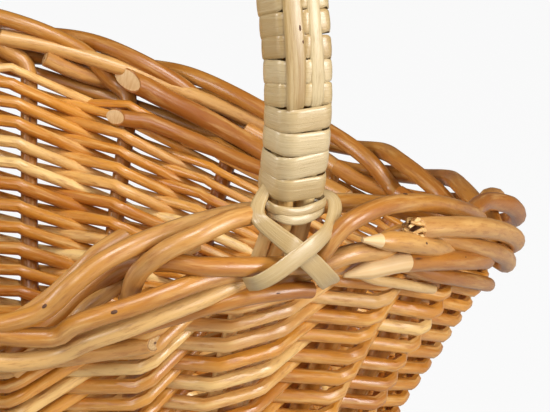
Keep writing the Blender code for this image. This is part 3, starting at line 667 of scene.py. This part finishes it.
# Rods shaved to a thin start: the bare length and the length of the taper, in millimetres, and the
# share of the radius that the shaving leaves.
SHAVED = {"cut_rod_slant": (7.0, 11.0), "wedge_rod_low": (22.0, 9.0)}
SHAVED_SHARE = 0.22

# Finishes of the pieces let in, where they aren't buff with a plain cut end.
FILLER_FINISHES = {"cut_rod_slant": (BUFF_ROD, SCARF), "wedge_rod_low": (BUFF_ROD, SCARF),
                   "far_butt_high": (BUFF_ROD, SCARF), "far_butt_low": (BUFF_ROD, SCARF),
                   "butt_rod": (BUFF_ROD, CRACKED_END), "peeled_weaver": (PEELED_ROD, CUT_END)}

# Scars where buds were: the rod's name, degrees round the rim, the tilt up from straight out, and
# half the length and half the width in millimetres.
BUD_SCARS = (("stake_21", -21.4, 18, 1.0, 0.6), ("cut_rod_low", -3.0, 15, 1.4, 0.5),
             ("stake_21", 13.6, 80, 1.2, 0.6), ("cut_rod_slant", 15.2, 20, 0.9, 0.5),
             ("stake_20", -44.0, 30, 1.0, 0.5), ("stake_24", -18.2, 20, 1.0, 0.5),
             ("wedge_rod_low", 24.0, 30, 0.9, 0.45), ("stake_22", -27.0, 40, 0.9, 0.5))

# A scar or knot is a low dome in rings of points: each ring's share of the size, and its height in
# millimetres.
DOME_RINGS = ((1.0, -0.12), (0.75, 0.06), (0.35, 0.12))
DOME_POINTS = 12


def route(entries):
    return [rim_point(math.radians(turn), out * MM, above * MM) for turn, out, above in entries]


def plain_border(index):
    keys = []
    for passed, out, above in BORDER_RUN:
        angle = stake_angle(index + passed)
        inset = SIDE_INSET * math.sin(angle) ** 2
        keys.append(rim_point(angle, out * BORDER_PITCH - inset, above * BORDER_PITCH + far_lift(angle)))
    return keys


def wall_run(index, top):
    """Return a stake's keys from its tail under the base to near the top of the wall."""
    angle = stake_angle(index)
    keys = [polar(angle, EDGE_RADIUS - inside * MM, height * MM) for inside, height in STAKE_TAIL]
    for share in np.linspace(WALL_START, top, WALL_KEYS):
        keys.append(wall_point(angle, share))
    return keys


def add_bud_scar(bundle, line, radius, turn, tilt, half_length, half_width):
    """Lay a low dark dome on a rod where its bud was."""
    bearing = np.degrees(np.arctan2(line[:, 0], -line[:, 1]))
    row = int(np.argmin(np.abs(bearing - turn)))
    ahead = directions(line)[row]
    angle = math.radians(turn)
    way = polar(angle, math.cos(math.radians(tilt)), math.sin(math.radians(tilt)))
    way = unit(way - ahead * (way @ ahead))
    add_dome(bundle, line[row] + way * radius, way, ahead, half_length, half_width, radius)


def add_dome(bundle, centre, way, ahead, half_length, half_width, radius):
    """Lay a low oval dome on a surface that is rounded to the radius across the way ahead."""
    side = np.cross(way, ahead)
    points = []
    for share, rise in DOME_RINGS:
        for turn in 2 * math.pi * np.arange(DOME_POINTS) / DOME_POINTS:
            aside = math.sin(turn) * half_width * share * MM
            sag = radius - math.sqrt(radius ** 2 - aside ** 2)
            points.append(centre + way * (rise * MM - sag) + side * aside
                          + ahead * math.cos(turn) * half_length * share * MM)
    faces = []
    for ring in range(len(DOME_RINGS) - 1):
        low, high = ring * DOME_POINTS, (ring + 1) * DOME_POINTS
        for point in range(DOME_POINTS):
            after = (point + 1) % DOME_POINTS
            faces.append((low + point, low + after, high + after, high + point))
    faces += [tuple(high + point for point in range(DOME_POINTS)), tuple(reversed(range(DOME_POINTS)))]
    bundle.add(points, faces, [((0.5, 0.5),) * len(face) for face in faces], [0] * len(faces))


def make_stakes(rods):
    for index in range(STAKES):
        angle = stake_angle(index)
        fall = rim_height(angle) - EDGE_HEIGHT
        if index in FOOT_RODS:
            entries = FOOT_RODS[index]
            keys = wall_run(index, -entries[0][2] * MM / fall + FOOT_WALL_TOP) + route(entries)
        else:
            step_aside = 0.0 if index % (STAKES // 2) else FOOT_ASIDE * MM
            keys = wall_run(index, TURN_START * MM / fall)
            for above, aside in TURN_KEYS:
                keys.append(rim_point(angle, 0, above * MM, step_aside + aside * MM))
            keys += plain_border(index)
        line = eased(keys, "stake")
        radii = grown_radii(len(line), STAKE_RADIUS, BORDER_RADIUS * TIP_SHARE, luck("stake", index))
        bundle = Bundle()
        bundle.tube("stake", index, line, radii)
        name = f"stake_{index + 1:02d}"
        bundle.make(name + "_rod", (BUFF_ROD, CUT_END), [name])
        rods[name] = line, radii


def make_fillers(rods):
    for order, (name, butt, tip, face, entries) in enumerate(FILLERS):
        line = eased(route(entries), "filler")
        radii = grown_radii(len(line), butt * MM, tip * MM, luck("filler", order))
        cut = None
        if face:
            aside, out, above = face
            angle = math.radians(entries[0][0])
            cut = polar(angle + math.pi / 2, aside, 0) + polar(angle, out, above)
        bare, taper = SHAVED.get(name, (0.0, 0.0))
        if taper:
            along = np.linalg.norm(line - line[0], axis=1) / MM
            radii = radii * np.clip(SHAVED_SHARE + (1 - SHAVED_SHARE) * along / taper, 0, 1)
        bundle = Bundle()
        bundle.tube("filler", order, line, radii, cut=cut, bare=bare * MM)
        bundle.make(name, FILLER_FINISHES.get(name, (BUFF_ROD, CUT_END)), [])
        rods[name] = line, radii


def make_torn_end(line, radius):
    """Make the splinters of a rod end that was torn, not cut."""
    bundle = Bundle()
    own = luck("splinter", 0)
    beyond = line[0] - line[1]
    for number in range(SPLINTERS):
        turn = 2 * math.pi * number / SPLINTERS
        ring = polar(math.radians(TORN_TURN), math.cos(turn), 0) + np.array((0, 0, math.sin(turn)))
        keys = [line[2] + ring * radius * 0.6, line[0] + ring * radius * 0.85]
        for step in (1, 2):
            stray = own.uniform(-1, 1, 3) * SPLINTER_STRAY * MM * step
            spread = 0.95 - 0.25 * step
            keys.append(line[0] + ring * radius * spread + beyond * SPLINTER_STEP * step + stray)
        splinter = eased(keys, "splinter")
        radii = SPLINTER_RADIUS * MM * np.linspace(*SPLINTER_TAPER, len(splinter))
        bundle.tube("splinter", number, splinter, radii)
    bundle.make("torn_end", (CORE_ROD, CUT_END), [])


def make_bud_scars(rods):
    bundle = Bundle()
    for name, turn, tilt, half_length, half_width in BUD_SCARS:
        line, radii = rods[name]
        add_bud_scar(bundle, line, float(radii.mean()), turn, tilt, half_length, half_width)
    bundle.make("bud_scars", (BUD_SCAR,), [])


def make_border_rods():
    """Make the stakes, what is let in between them, and the marks on both."""
    rods = {}
    make_stakes(rods)
    make_fillers(rods)
    line, radii = rods["butt_rod"]
    make_torn_end(line, radii[0])
    make_bud_scars(rods)


# Side weave

# Where a weaver bends round a stake, in millimetres aside from it: a plain stake, the stakes at
# the handle's feet with the handle's rods beside them, and the stakes next to those.
PLAIN_BEND = (-1.8, 0.4, 2.0)
POST_BEND = (-13.0, 0.5, 5.2)
NEXT_BEND = (1.2, 3.6, 5.8)

# A weaver's radius is at most this share of the climb between rounds. It varies from rod to rod,
# is larger in the first rounds, and leaves a small gap in millimetres to the stakes it passes. The
# weaver climbs this part of a round as it bends round a stake, and has keys at these shares of the
# way between two bends. Its end turns in behind the next stake, in degrees and wall share.
CLIMB_SHARE = 0.41
RADIUS_RANGE = (0.84, 1.04)
THICK_ROUNDS = 7
THICKER = 0.12
STAKE_GAP = 0.8
BEND_RISE = 0.08
BETWEEN_BENDS = (0.14, 0.5, 0.86)
END_TURN = 7
END_SINK = 0.02

# How sharply the rounds turn from level to the rim's line, and close up at the handle's feet.
TOP_CURVE = 2.5
CLOSING_CURVE = 6


def weave_share(angle, rounds_up):
    """Return the wall share of the weave at a count of rounds above its foot."""
    closing = FRONT_CLOSING * math.cos(angle) ** 2
    share = max(rounds_up / ROUNDS, 0.0)
    share = (1 + closing) * share - closing * share ** CLOSING_CURVE
    foot, top = EDGE_HEIGHT + WEAVE_FOOT, rim_height(angle) - WEAVE_TOP + far_lift(angle)
    height = foot + (LEVEL_ROW - foot) * share + (top - LEVEL_ROW) * share ** TOP_CURVE
    return (rim_height(angle) - height) / (rim_height(angle) - EDGE_HEIGHT)


def make_weavers():
    for number in range(STAKES):
        own = luck("weaver", number)
        keys = []
        for passed in range(-1, 2 * ROUNDS):
            index = number + passed
            angle = stake_angle(index)
            rounds_up = (passed + 1) / 2
            here, above = weave_share(angle, rounds_up), weave_share(angle, rounds_up + 0.5)
            climb = 2 * abs(here - above) * (rim_height(angle) - EDGE_HEIGHT)
            radius = min(WEAVER_RADIUS, CLIMB_SHARE * climb) * own.uniform(*RADIUS_RANGE)
            radius *= 1 + THICKER * max(0.0, 1 - rounds_up / THICK_ROUNDS)
            lift = STAKE_RADIUS + radius + STAKE_GAP * MM
            out = lift if passed % 2 == 0 else -lift
            place = wall_point(angle, here)
            reach = math.hypot(place[0], place[1])
            bend = {0: POST_BEND, 1: NEXT_BEND}.get(index % (STAKES // 2), PLAIN_BEND)
            bent = []
            for aside, side in zip(bend, (-1, 0, 1)):
                turned = angle + aside * MM / reach
                place = wall_point(turned, weave_share(turned, rounds_up + BEND_RISE * side), out)
                bent.append((*place, radius))
            if keys:
                start, end = np.array(keys[-1]), np.array(bent[0])
                keys += [tuple(start + (end - start) * share) for share in BETWEEN_BENDS]
            keys += bent
        last = stake_angle(number + 2 * ROUNDS - 1) + math.radians(END_TURN)
        keys.append((*wall_point(last, weave_share(last, ROUNDS) + END_SINK), keys[-1][3]))
        line = eased(keys, "weaver")
        bundle = Bundle()
        taper = 1.05 - 0.1 * np.linspace(0, 1, len(line))
        bundle.tube("weaver", number, line[:, :3], line[:, 3] * taper)
        name = f"weaver_{number + 1:02d}"
        bundle.make(name + "_rod", (BUFF_WEAVER, CUT_END), [name])


# Base, in millimetres and degrees

# Three sticks lie one way and three across them. An arm comes in along its own spoke, past these
# distances from the heart, and runs straight through the middle from STICK_START.
BASE_LEVEL = 8.9
BASE_PHASE = STAKE_PHASE + 7.5
ARM_STEP = 30
ARM_KEYS = (78.3, 52, 26)
STICK_START = 11
STICK_GAP = 5.6
STICK_LIFT = 0.9
STICK_RADII = (2.2, 2.0)
PAIR_STEPS = 48
PAIR_START = 24.5
PAIR_PITCH = 5.0
PAIR_RISE = 4.2
PAIR_BETWEEN = 0.4
PAIR_RADII = (2.4, 2.15)

# The foot ring is a rope of three strands.
STRANDS = 3
ROPE_TURNS = 24
ROPE_PLACE = (78, 3.0)
ROPE_SPREAD = (2.1, 0.95)
STRAND_RADIUS = 2.02


def arm_angle(arm):
    return math.radians(BASE_PHASE + ARM_STEP * arm)


def make_base_sticks():
    bundle = Bundle()
    level = np.array((0, 0, BASE_LEVEL * MM))
    for group, rise in enumerate((-STICK_LIFT, STICK_LIFT)):
        heart = arm_angle(group * 3 + 1)
        along, across = polar(heart, 1, 0), polar(heart + math.pi / 2, 1, 0)
        for row in range(3):
            first = group * 3 + row
            beside = across * STICK_GAP * MM * (row - 1)
            keys = []
            for end, way in ((first, 1), (first + 8 - 2 * row, -1)):
                arm = [polar(arm_angle(end), reach * MM, BASE_LEVEL * MM) for reach in ARM_KEYS]
                arm.append(along * STICK_START * MM * way + beside + level + np.array((0, 0, rise * MM)))
                keys += arm[::way]
            line = eased(keys, "base_stick")
            butt, tip = STICK_RADII
            radii = grown_radii(len(line), butt * MM, tip * MM, luck("base_stick", first))
            bundle.tube("base_stick", first, line, radii)
    bundle.make("base_sticks_rods", (BUFF_BASE, CUT_END), ["base_sticks"])


def make_base_weavers():
    for number, name in enumerate(("base_weaver_a", "base_weaver_b")):
        keys = []
        for step in range(PAIR_STEPS):
            angle = arm_angle(step + 6 * number)
            radius = (PAIR_START + PAIR_PITCH * (1 + 2 * step / 12)) * MM
            rise = (-PAIR_RISE if step % 2 else PAIR_RISE) * MM
            keys.append(polar(angle, radius, BASE_LEVEL * MM + rise))
            between = angle + math.radians(ARM_STEP / 2)
            keys.append(polar(between, radius + PAIR_BETWEEN * MM, BASE_LEVEL * MM))
        line = eased(keys, "base_weaver")
        butt, tip = PAIR_RADII
        radii = grown_radii(len(line), butt * MM, tip * MM, luck("base_weaver", number))
        bundle = Bundle()
        bundle.tube("base_weaver", number, line, radii)
        bundle.make(name + "_rod", (BUFF_BASE, CUT_END), [name])


def make_foot_ring():
    bundle = Bundle()
    turns = np.linspace(0, 2 * math.pi, 361)
    for strand in range(STRANDS):
        line = []
        for turn in turns[:-1]:
            spin = turn * ROPE_TURNS + strand * 2 * math.pi / STRANDS
            radius = ROPE_PLACE[0] + ROPE_SPREAD[0] * math.cos(spin)
            line.append(polar(turn, radius * MM, (ROPE_PLACE[1] + ROPE_SPREAD[1] * math.sin(spin)) * MM))
        bundle.tube("foot_ring", strand, line + line[:1], STRAND_RADIUS * MM)
    bundle.make("foot_ring_twist", (BUFF_BASE, CUT_END), ["foot_ring"])


# Handle

# The turns of the wrap in each foot's own node, the steps in which the arch and the grip's section
# are worked out, and the way across the grip.
FOOT_TURNS = 12
ARCH_STEPS = 900
SECTION_STEPS = 64
ACROSS = np.array((1.0, 0, 0))

# A turn of the wrap, in millimetres: how far it rises in the gap between the leaders and where that
# gap lies, where it is pinched at the grip's outer corners, and how far it may slant and wave.
GAP_BULGE = 0.85
GAP_PLACE = -1.2
GAP_WIDTH = 1.0
CORNER_PLACE = 7.0
CORNER_WIDTH = 0.9
CORNER_PINCH = 0.13
TURN_SLANT = 0.5
TURN_WAVE = 0.25

# The wrap's steady slant across the grip, how far its inner side lies below its outer side at the
# bound foot and above it, as shares, and the strip itself in millimetres.
HELIX_SLANT = 0.085
BOUND_DROP = 0.06
WRAP_DROP = 0.16
SKEIN_THICKNESS = 0.6
SKEIN_CROWN = 0.34

# The two leaders on the outer face: name, place across the grip, width and lean of the face. In
# turns of the wrap: how far they reach under the bound foot, and the run in which they dive under.
LEADERS = (("leader_broad", -5.5, 6.1, -0.1), ("leader_narrow", 1.6, 4.5, 0.0))
LEADER_TUCK = 0.35
LEADER_DIVE_RUN = 0.6
LEADER_LIFT = 0.75
LEADER_DIVE = 1.6
LEADER_GATHER = 0.2
LEADER_NARROWING = 0.35
LEADER_THICKNESS = 0.8
LEADER_CROWN = 0.4
LEADER_STEPS = 260

# How the leaders waver: size in millimetres and radians to the metre, and the same for the width,
# whose size is a share.
SLOW_SWAY = (0.16, 70)
QUICK_SWAY = (0.1, 210)
BREADTH_SWAY = (0.035, 160)

# Knots in the broad leader: the rise above its lower end, the place aside, half the length and
# half the width, in millimetres. Then their lift and how round the leader is there.
KNOTS = ((25.6, 1.5, 1.1, 0.5), (20.9, 2.2, 0.7, 0.3))
KNOT_LIFT = 0.84
KNOT_ROUNDING = 8

# The four rods inside the grip: radius, the place across and out in the grip, then the neck
# below it at the front foot (x, y, z) and how far aside each enters the weave, in millimetres.
CORE_RODS = ((2.1, -5.2, -2.6, ((-6.2, -153.6, 170), (-8.2, -151.2, 160)), -10.6),
             (2.2, -4.3, 2.2, ((-3.8, -157.2, 170), (-4.2, -153.4, 160)), -5.9),
             (2.7, 3.0, 1.8, ((2.5, -157.0, 170), (2.8, -152.6, 160)), 3.4),
             (2.3, -0.6, -3.0, ((-0.9, -153.0, 170), (0.6, -149.0, 160)), 7.8))

# The rods' ends down in the weave: height from the rim line, and the share of the place aside.
CORE_ENTRY = ((-78, 0.55), (-58, 0.8), (-38, 1.0), (-18, 1.0))
CORE_STEPS = 90


def arch_line():
    """Return the handle's centre line from foot to foot, with the way out and the length."""
    start = math.asin((WRAP_FOOT - ARCH_CENTRE) / ARCH_RISE)
    turn = np.linspace(start, math.pi - start, ARCH_STEPS)
    centre = np.stack([0 * turn, -SPAN * np.cos(turn), ARCH_CENTRE + ARCH_RISE * np.sin(turn)], 1)
    out = unit(np.stack([0 * turn, -np.cos(turn) / SPAN, np.sin(turn) / ARCH_RISE], 1))
    return centre, out, run_lengths(centre)


def on_arch(arch, along):
    """Return the places on the handle's centre line at the lengths along it, and the way out."""
    centre, out, length = arch
    spot, way = (np.stack([np.interp(along, length, table[:, axis]) for axis in range(3)], -1)
                 for table in (centre, out))
    return spot, unit(way)


def grip_section(raised, corner):
    """Return places round the rounded section of the grip, across and out, with their way out."""
    outer, inner = WRAP_OUTER + raised, -WRAP_INNER
    places = []
    for across, away, start in ((WRAP_RIGHT, inner, -90), (WRAP_RIGHT, outer, 0), (WRAP_LEFT, outer, 90),
                                (WRAP_LEFT, inner, 180)):
        bend = corner if away > 0 else INNER_CORNER
        centre = np.array((across - math.copysign(bend, across), away - math.copysign(bend, away)))
        for turn in np.radians(np.linspace(start, start + 90, 9)):
            places.append(centre + bend * np.array((math.cos(turn), math.sin(turn))))
    places = np.array(places + places[:1])
    length = run_lengths(places)
    even = np.linspace(0, length[-1], SECTION_STEPS + 1)[:-1]
    across, away = (np.interp(even, length, places[:, axis]) for axis in range(2))
    ring = np.stack([across, away], 1)
    ahead = unit(np.roll(ring, -1, axis=0) - np.roll(ring, 1, axis=0))
    return across, away, ahead[:, 1], -ahead[:, 0]


def wrap_turn(arch, turn, turns):
    """Return one turn of the wrap: its line, its way out and its width."""
    own = luck("wrap", turn)
    reach = arch[2][-1]
    middle = (turn + 0.5) * reach / turns
    bound = turn < BOUND_TURNS or turn >= turns - BOUND_TURNS
    raised, bend = (BOUND_RISE, BOUND_CORNER) if bound else (0.0, WRAP_CORNER)
    across, away, way_across, way_out = grip_section(raised, bend)
    front = way_out > 0.3
    corner = front * np.exp(-((np.abs(across) - CORNER_PLACE * MM) / (CORNER_WIDTH * MM)) ** 2)
    wave = own.uniform(-TURN_SLANT, TURN_SLANT) * MM * across / WRAP_RIGHT
    wave = wave + own.uniform(-TURN_WAVE, TURN_WAVE) * MM * front
    if not bound:
        away = away + GAP_BULGE * MM * front * np.exp(-((across - GAP_PLACE * MM) / (GAP_WIDTH * MM)) ** 2)
        wave = wave - HELIX_SLANT * across
    climb = (min(middle, reach - middle) - BOUND_TURNS * WRAP_PITCH) / DEEPENING_RUN
    away = away - DEEPENING * min(max(climb, 0), 1) * np.clip(-away / WRAP_INNER, 0, 1)
    drop = BOUND_DROP if bound else WRAP_DROP
    wave = wave + drop * (away - WRAP_OUTER) * math.cos(math.pi * middle / reach)
    spot, way = on_arch(arch, middle + wave)
    line = spot + away[:, None] * way + across[:, None] * ACROSS
    outward = way_across[:, None] * ACROSS + way_out[:, None] * way
    pinch = 0.0 if bound else CORNER_PINCH
    return line, outward, reach / turns * own.uniform(1.0, 1.05) * (1 - pinch * corner)


def make_wraps(arch):
    turns = int(arch[2][-1] / WRAP_PITCH)
    top = turns - FOOT_TURNS
    parts = {"front": range(FOOT_TURNS), "top": range(FOOT_TURNS, top), "back": range(top, turns)}
    for part, its_turns in parts.items():
        bundle = Bundle()
        for turn in its_turns:
            line, outward, width = wrap_turn(arch, turn, turns)
            bundle.strip(grain_start("wrap", turn), line, outward, width, SKEIN_THICKNESS * MM,
                         SKEIN_CROWN * MM, closed=True)
        name = f"handle_wrap_{part}"
        bundle.make(name + "_skein", (SKEIN,), [name], sharp=60)


def make_leaders(arch):
    """Make both leaders. Return the lines along their faces with the ways out."""
    reach = arch[2][-1]
    tuck = (BOUND_TURNS - LEADER_TUCK) * reach / int(reach / WRAP_PITCH)
    along = np.linspace(tuck, reach - tuck, LEADER_STEPS)
    spot, way = on_arch(arch, along)
    under = np.clip(1 - (np.minimum(along, reach - along) - tuck) / (LEADER_DIVE_RUN * WRAP_PITCH), 0, 1)
    lift = WRAP_OUTER + (LEADER_LIFT - LEADER_DIVE * under) * MM
    faces = {}
    for order, (name, offset, width, lean) in enumerate(LEADERS):
        own = luck("leader", order)
        sway = SLOW_SWAY[0] * MM * np.sin(along * SLOW_SWAY[1] + own.uniform(0, 6))
        sway = sway + QUICK_SWAY[0] * MM * np.sin(along * QUICK_SWAY[1])
        aside = offset * MM * (1 - LEADER_GATHER * under) + sway
        line = spot + lift[:, None] * way + aside[:, None] * ACROSS
        breadth = width * MM * (1 + BREADTH_SWAY[0] * np.sin(along * BREADTH_SWAY[1] + order + 1))
        breadth = breadth * (1 - LEADER_NARROWING * under)
        bundle = Bundle()
        bundle.strip(grain_start("leader", order), line, way + lean * ACROSS, breadth,
                     LEADER_THICKNESS * MM, LEADER_CROWN * MM)
        bundle.make(f"{name}_skein", (LEADER,), [name], sharp=60)
        faces[name] = line, way
    return faces


def make_knots(line, way):
    bundle = Bundle()
    for rise, aside, half_length, half_width in KNOTS:
        row = int(np.argmin(np.abs(np.linalg.norm(line - line[0], axis=1) - rise * MM)))
        centre = line[row] + way[row] * KNOT_LIFT * MM + aside * MM * ACROSS
        ahead = directions(line)[row]
        add_dome(bundle, centre, way[row], ahead, half_length, half_width, KNOT_ROUNDING * MM)
    bundle.make("leader_knots", (BUD_SCAR,), [])


def make_core(arch):
    """Make the rods inside the grip, from the weave at one foot to the weave at the other."""
    bundle = Bundle()
    spot, way = on_arch(arch, np.linspace(0, arch[2][-1], CORE_STEPS))
    for order, (radius, across, away, neck, aside) in enumerate(CORE_RODS):
        line = spot + way * away * MM + across * MM * ACROSS
        foot = [rim_point(0, 0, height * MM, aside * share * MM) for height, share in CORE_ENTRY]
        foot += [np.array(place) * MM for place in reversed(neck)]
        keys = foot + list(line) + [place * (1, -1, 1) for place in reversed(foot)]
        bundle.tube("core_rod", order, eased(keys, "core_rod"), radius * MM)
    # The core's finish carries painted light: its colour is lighter than the wood to offset the shade of the
    # wrap.
    bundle.make("handle_core", (CORE_ROD, CUT_END), ["handle_bow"])


# Ties

TIE_CROWN = 0.25
BACK_TIE_GRAIN = 20

# Where along a strip its widths hold, as shares of its length.
TIE_STATIONS = (0, 0.55, 1)

# Each strip of the tie at the front foot of the handle: its width at the start, the middle and the
# end, then places (x, y, z) in millimetres with the way that its face looks there.
TIE_STRIPS = {
    "upper_band": (
        (2.6, 2.9, 2.6),
        ((-6.6, -150.5, 177.4, -1, 0, 0), (-9.3, -153, 177.2, -1, -0.2, 0),
         (-10.2, -157, 176.4, -1, -0.6, 0), (-9.6, -160.6, 175.4, -0.6, -1, 0),
         (-6.2, -162, 174.4, -0.1, -1, 0.1), (-1.8, -162.2, 173.7, 0, -1, 0.1),
         (2.7, -162, 174.1, 0.1, -1, 0.1), (7.4, -160.4, 174.5, 0.6, -1, 0),
         (9.6, -157, 174.6, 1, -0.5, 0), (9.6, -153.5, 174.8, 1, 0, 0), (7.4, -150.5, 175, 1, 0.6, 0))),
    "lower_band": (
        (2.6, 2.8, 2.4),
        ((-8.6, -152.5, 173.6, -1, 0, 0), (-9.8, -157, 173.9, -1, -0.5, 0),
         (-9, -160.8, 173.3, -0.6, -1, 0), (-6.2, -162.3, 172, -0.1, -1, 0.1),
         (-1.9, -162.6, 171.4, 0, -1, 0.1), (3, -161.9, 171.8, 0.1, -1, 0.1),
         (7.6, -159.6, 172.3, 0.6, -1, 0), (9.4, -156, 172.4, 1, -0.4, 0), (8.8, -152, 172.4, 1, 0.3, 0))),
    "left_strip": (
        (3.4, 6.2, 6.2),
        ((-8.1, -155.2, 181, -0.33, -0.56, 0.75), (-11.8, -157.2, 178.4, -0.33, -0.58, 0.73),
         (-14.4, -159.1, 176.4, -0.37, -0.63, 0.66), (-15.7, -161.1, 174.6, -0.42, -0.72, 0.5),
         (-15.1, -162.9, 172.8, -0.45, -0.85, 0.25), (-13.2, -164.4, 170.8, -0.4, -0.92, 0.1),
         (-10.8, -165.9, 168.4, -0.3, -1, 0.05), (-8, -167.4, 165.8, -0.15, -1, 0.05),
         (-3.6, -167, 161.9, 0, -1, 0.1), (1.2, -166.4, 157.4, 0, -1, 0),
         (5.5, -164.8, 153.2, 0, -1, -0.2), (8.8, -162, 150.6, 0, -0.9, -0.5),
         (10.2, -158.5, 149.2, 0, -0.4, -1))),
    "right_strip": (
        (3.6, 5.6, 5.2),
        ((6.3, -152.6, 175.6, 0, -0.4, 0.9), (10.1, -155.7, 175.6, -0.05, -0.5, 0.85),
         (11.9, -158.1, 174.6, -0.05, -0.6, 0.75), (11.3, -160.6, 172.6, 0, -0.75, 0.6),
         (8.6, -163.1, 169.8, 0.1, -0.9, 0.35), (4.4, -165.8, 167.2, 0.2, -1, 0.1),
         (-1.3, -167.6, 164.9, 0.1, -1, 0.1), (-6.9, -168, 162.4, 0, -1, 0.1),
         (-11.8, -167.8, 159.9, 0, -1, 0.1), (-15.8, -166.8, 157.7, -0.1, -1, 0),
         (-18.6, -164.8, 156.1, -0.3, -1, -0.2), (-19.8, -161.6, 155.3, -0.8, -0.5, -0.4))),
}


def make_ties():
    for foot, sign in (("front", 1), ("back", -1)):
        bundle = Bundle()
        for order, (widths, places) in enumerate(TIE_STRIPS.values()):
            keys = np.array(places)
            keys[:, :3] *= MM
            keys[:, (0, 1, 3, 4)] *= sign
            line = eased(keys, "tie")
            width = np.interp(np.linspace(0, 1, len(line)), TIE_STATIONS, widths) * MM
            start = grain_start("tie", order) + (0 if sign > 0 else BACK_TIE_GRAIN)
            bundle.strip(start, line[:, :3], line[:, 3:], width, SKEIN_THICKNESS * MM, TIE_CROWN * MM)
        name = f"handle_tie_{foot}"
        bundle.make(name + "_skein", (SKEIN,), [name], sharp=60)


make_border_rods()
make_weavers()
make_base_sticks()
make_base_weavers()
make_foot_ring()
arch = arch_line()
make_wraps(arch)
leader_faces = make_leaders(arch)
make_knots(*leader_faces["leader_broad"])
make_core(arch)
make_ties()


# Studio

# How much of the floor's look to the camera is its own even white, and half its side in metres.
FLOOR_GLOW = 0.93
FLOOR_HALF = 6.0
WORLD_FILL = 0.08


def camera_mix(tree, share, plain, shown, output):
    """Blend two surfaces: the plain one for light and reflections, the other for the camera."""
    seen = tree.nodes.new("ShaderNodeLightPath")
    blend = tree.nodes.new("ShaderNodeMixShader")
    link(tree, math_node(tree, "MULTIPLY", seen.outputs["Is Camera Ray"], share), blend.inputs[0])
    link(tree, plain, blend.inputs[1])
    link(tree, shown, blend.inputs[2])
    link(tree, blend.outputs[0], tree.nodes[output].inputs["Surface"])


def studio_floor():
    mesh = bpy.data.meshes.new("studio_floor")
    corners = [(x * FLOOR_HALF, y * FLOOR_HALF, 0) for x, y in ((-1, -1), (1, -1), (1, 1), (-1, 1))]
    mesh.from_pydata(corners, [], [(0, 1, 2, 3)])
    floor = bpy.data.objects.new("studio_floor", mesh)
    bpy.context.scene.collection.objects.link(floor)
    material, tree, shader = new_finish("pale_floor")
    shader.inputs["Base Color"].default_value = (0.48, 0.48, 0.48, 1)
    shader.inputs["Roughness"].default_value = 0.9
    shader.inputs["Specular IOR Level"].default_value = 0.1
    glow = tree.nodes.new("ShaderNodeEmission")
    glow.inputs["Strength"].default_value = 1.0
    camera_mix(tree, FLOOR_GLOW, shader.outputs[0], glow.outputs[0], "Material Output")
    mesh.materials.append(material)


def studio_world():
    world = bpy.data.worlds.new("studio")
    bpy.context.scene.world = world
    world.use_nodes = True
    tree = world.node_tree
    fill = tree.nodes["Background"]
    fill.inputs["Color"].default_value = (1.0, 0.99, 0.98, 1)
    fill.inputs["Strength"].default_value = WORLD_FILL
    backdrop = tree.nodes.new("ShaderNodeBackground")
    backdrop.inputs["Color"].default_value = (1, 1, 1, 1)
    backdrop.inputs["Strength"].default_value = 1.0
    camera_mix(tree, 1.0, fill.outputs[0], backdrop.outputs[0], "World Output")


def studio_lamp(name, place, aim, size, power):
    lamp = bpy.data.lights.new(name, "AREA")
    lamp.shape = "SQUARE"
    lamp.size = size
    lamp.energy = power
    holder = bpy.data.objects.new(name, lamp)
    holder.location = place
    holder.rotation_euler = (Vector(aim) - Vector(place)).to_track_quat("-Z", "Y").to_euler()
    bpy.context.scene.collection.objects.link(holder)


studio_floor()
studio_world()
studio_lamp("front_softbox", (0.8, -1.35, 0.4), (0, -0.05, 0.14), 0.6, 18)
studio_lamp("left_softbox", (-1.0, -0.9, 0.9), (0, -0.05, 0.14), 0.5, 7)
studio_lamp("top_softbox", (-0.1, -0.8, 1.6), (0, 0.1, 0.1), 0.6, 19)
studio_lamp("back_softbox", (-1.1, 0.5, 0.6), (0, -0.1, 0.17), 0.5, 8)

# Camera: the photograph's own view, in degrees and metres

VIEW_AZIMUTH = -30.024
VIEW_DISTANCE = 1.2204
VIEW_HEIGHT = 0.4933
VIEW_YAW = -33.862
VIEW_PITCH = 16.372
VIEW_FOCAL_PIXELS = 3981.0
PHOTO_WIDTH_PIXELS = 550
SENSOR_WIDTH = 36.0


def photo_camera():
    camera = bpy.data.cameras.new("photo_view")
    camera.sensor_fit = "HORIZONTAL"
    camera.sensor_width = SENSOR_WIDTH
    camera.lens = VIEW_FOCAL_PIXELS * SENSOR_WIDTH / PHOTO_WIDTH_PIXELS
    camera.clip_start = 0.05
    holder = bpy.data.objects.new("photo_view", camera)
    turn, yaw, pitch = (math.radians(v) for v in (VIEW_AZIMUTH, VIEW_YAW, VIEW_PITCH))
    holder.location = (math.sin(turn) * VIEW_DISTANCE, -math.cos(turn) * VIEW_DISTANCE, VIEW_HEIGHT)
    gaze = Vector((-math.sin(yaw) * math.cos(pitch), math.cos(yaw) * math.cos(pitch), -math.sin(pitch)))
    holder.rotation_euler = gaze.to_track_quat("-Z", "Y").to_euler()
    bpy.context.scene.collection.objects.link(holder)
    bpy.context.scene.camera = holder


photo_camera()
bpy.context.scene.view_settings.view_transform = "Standard"
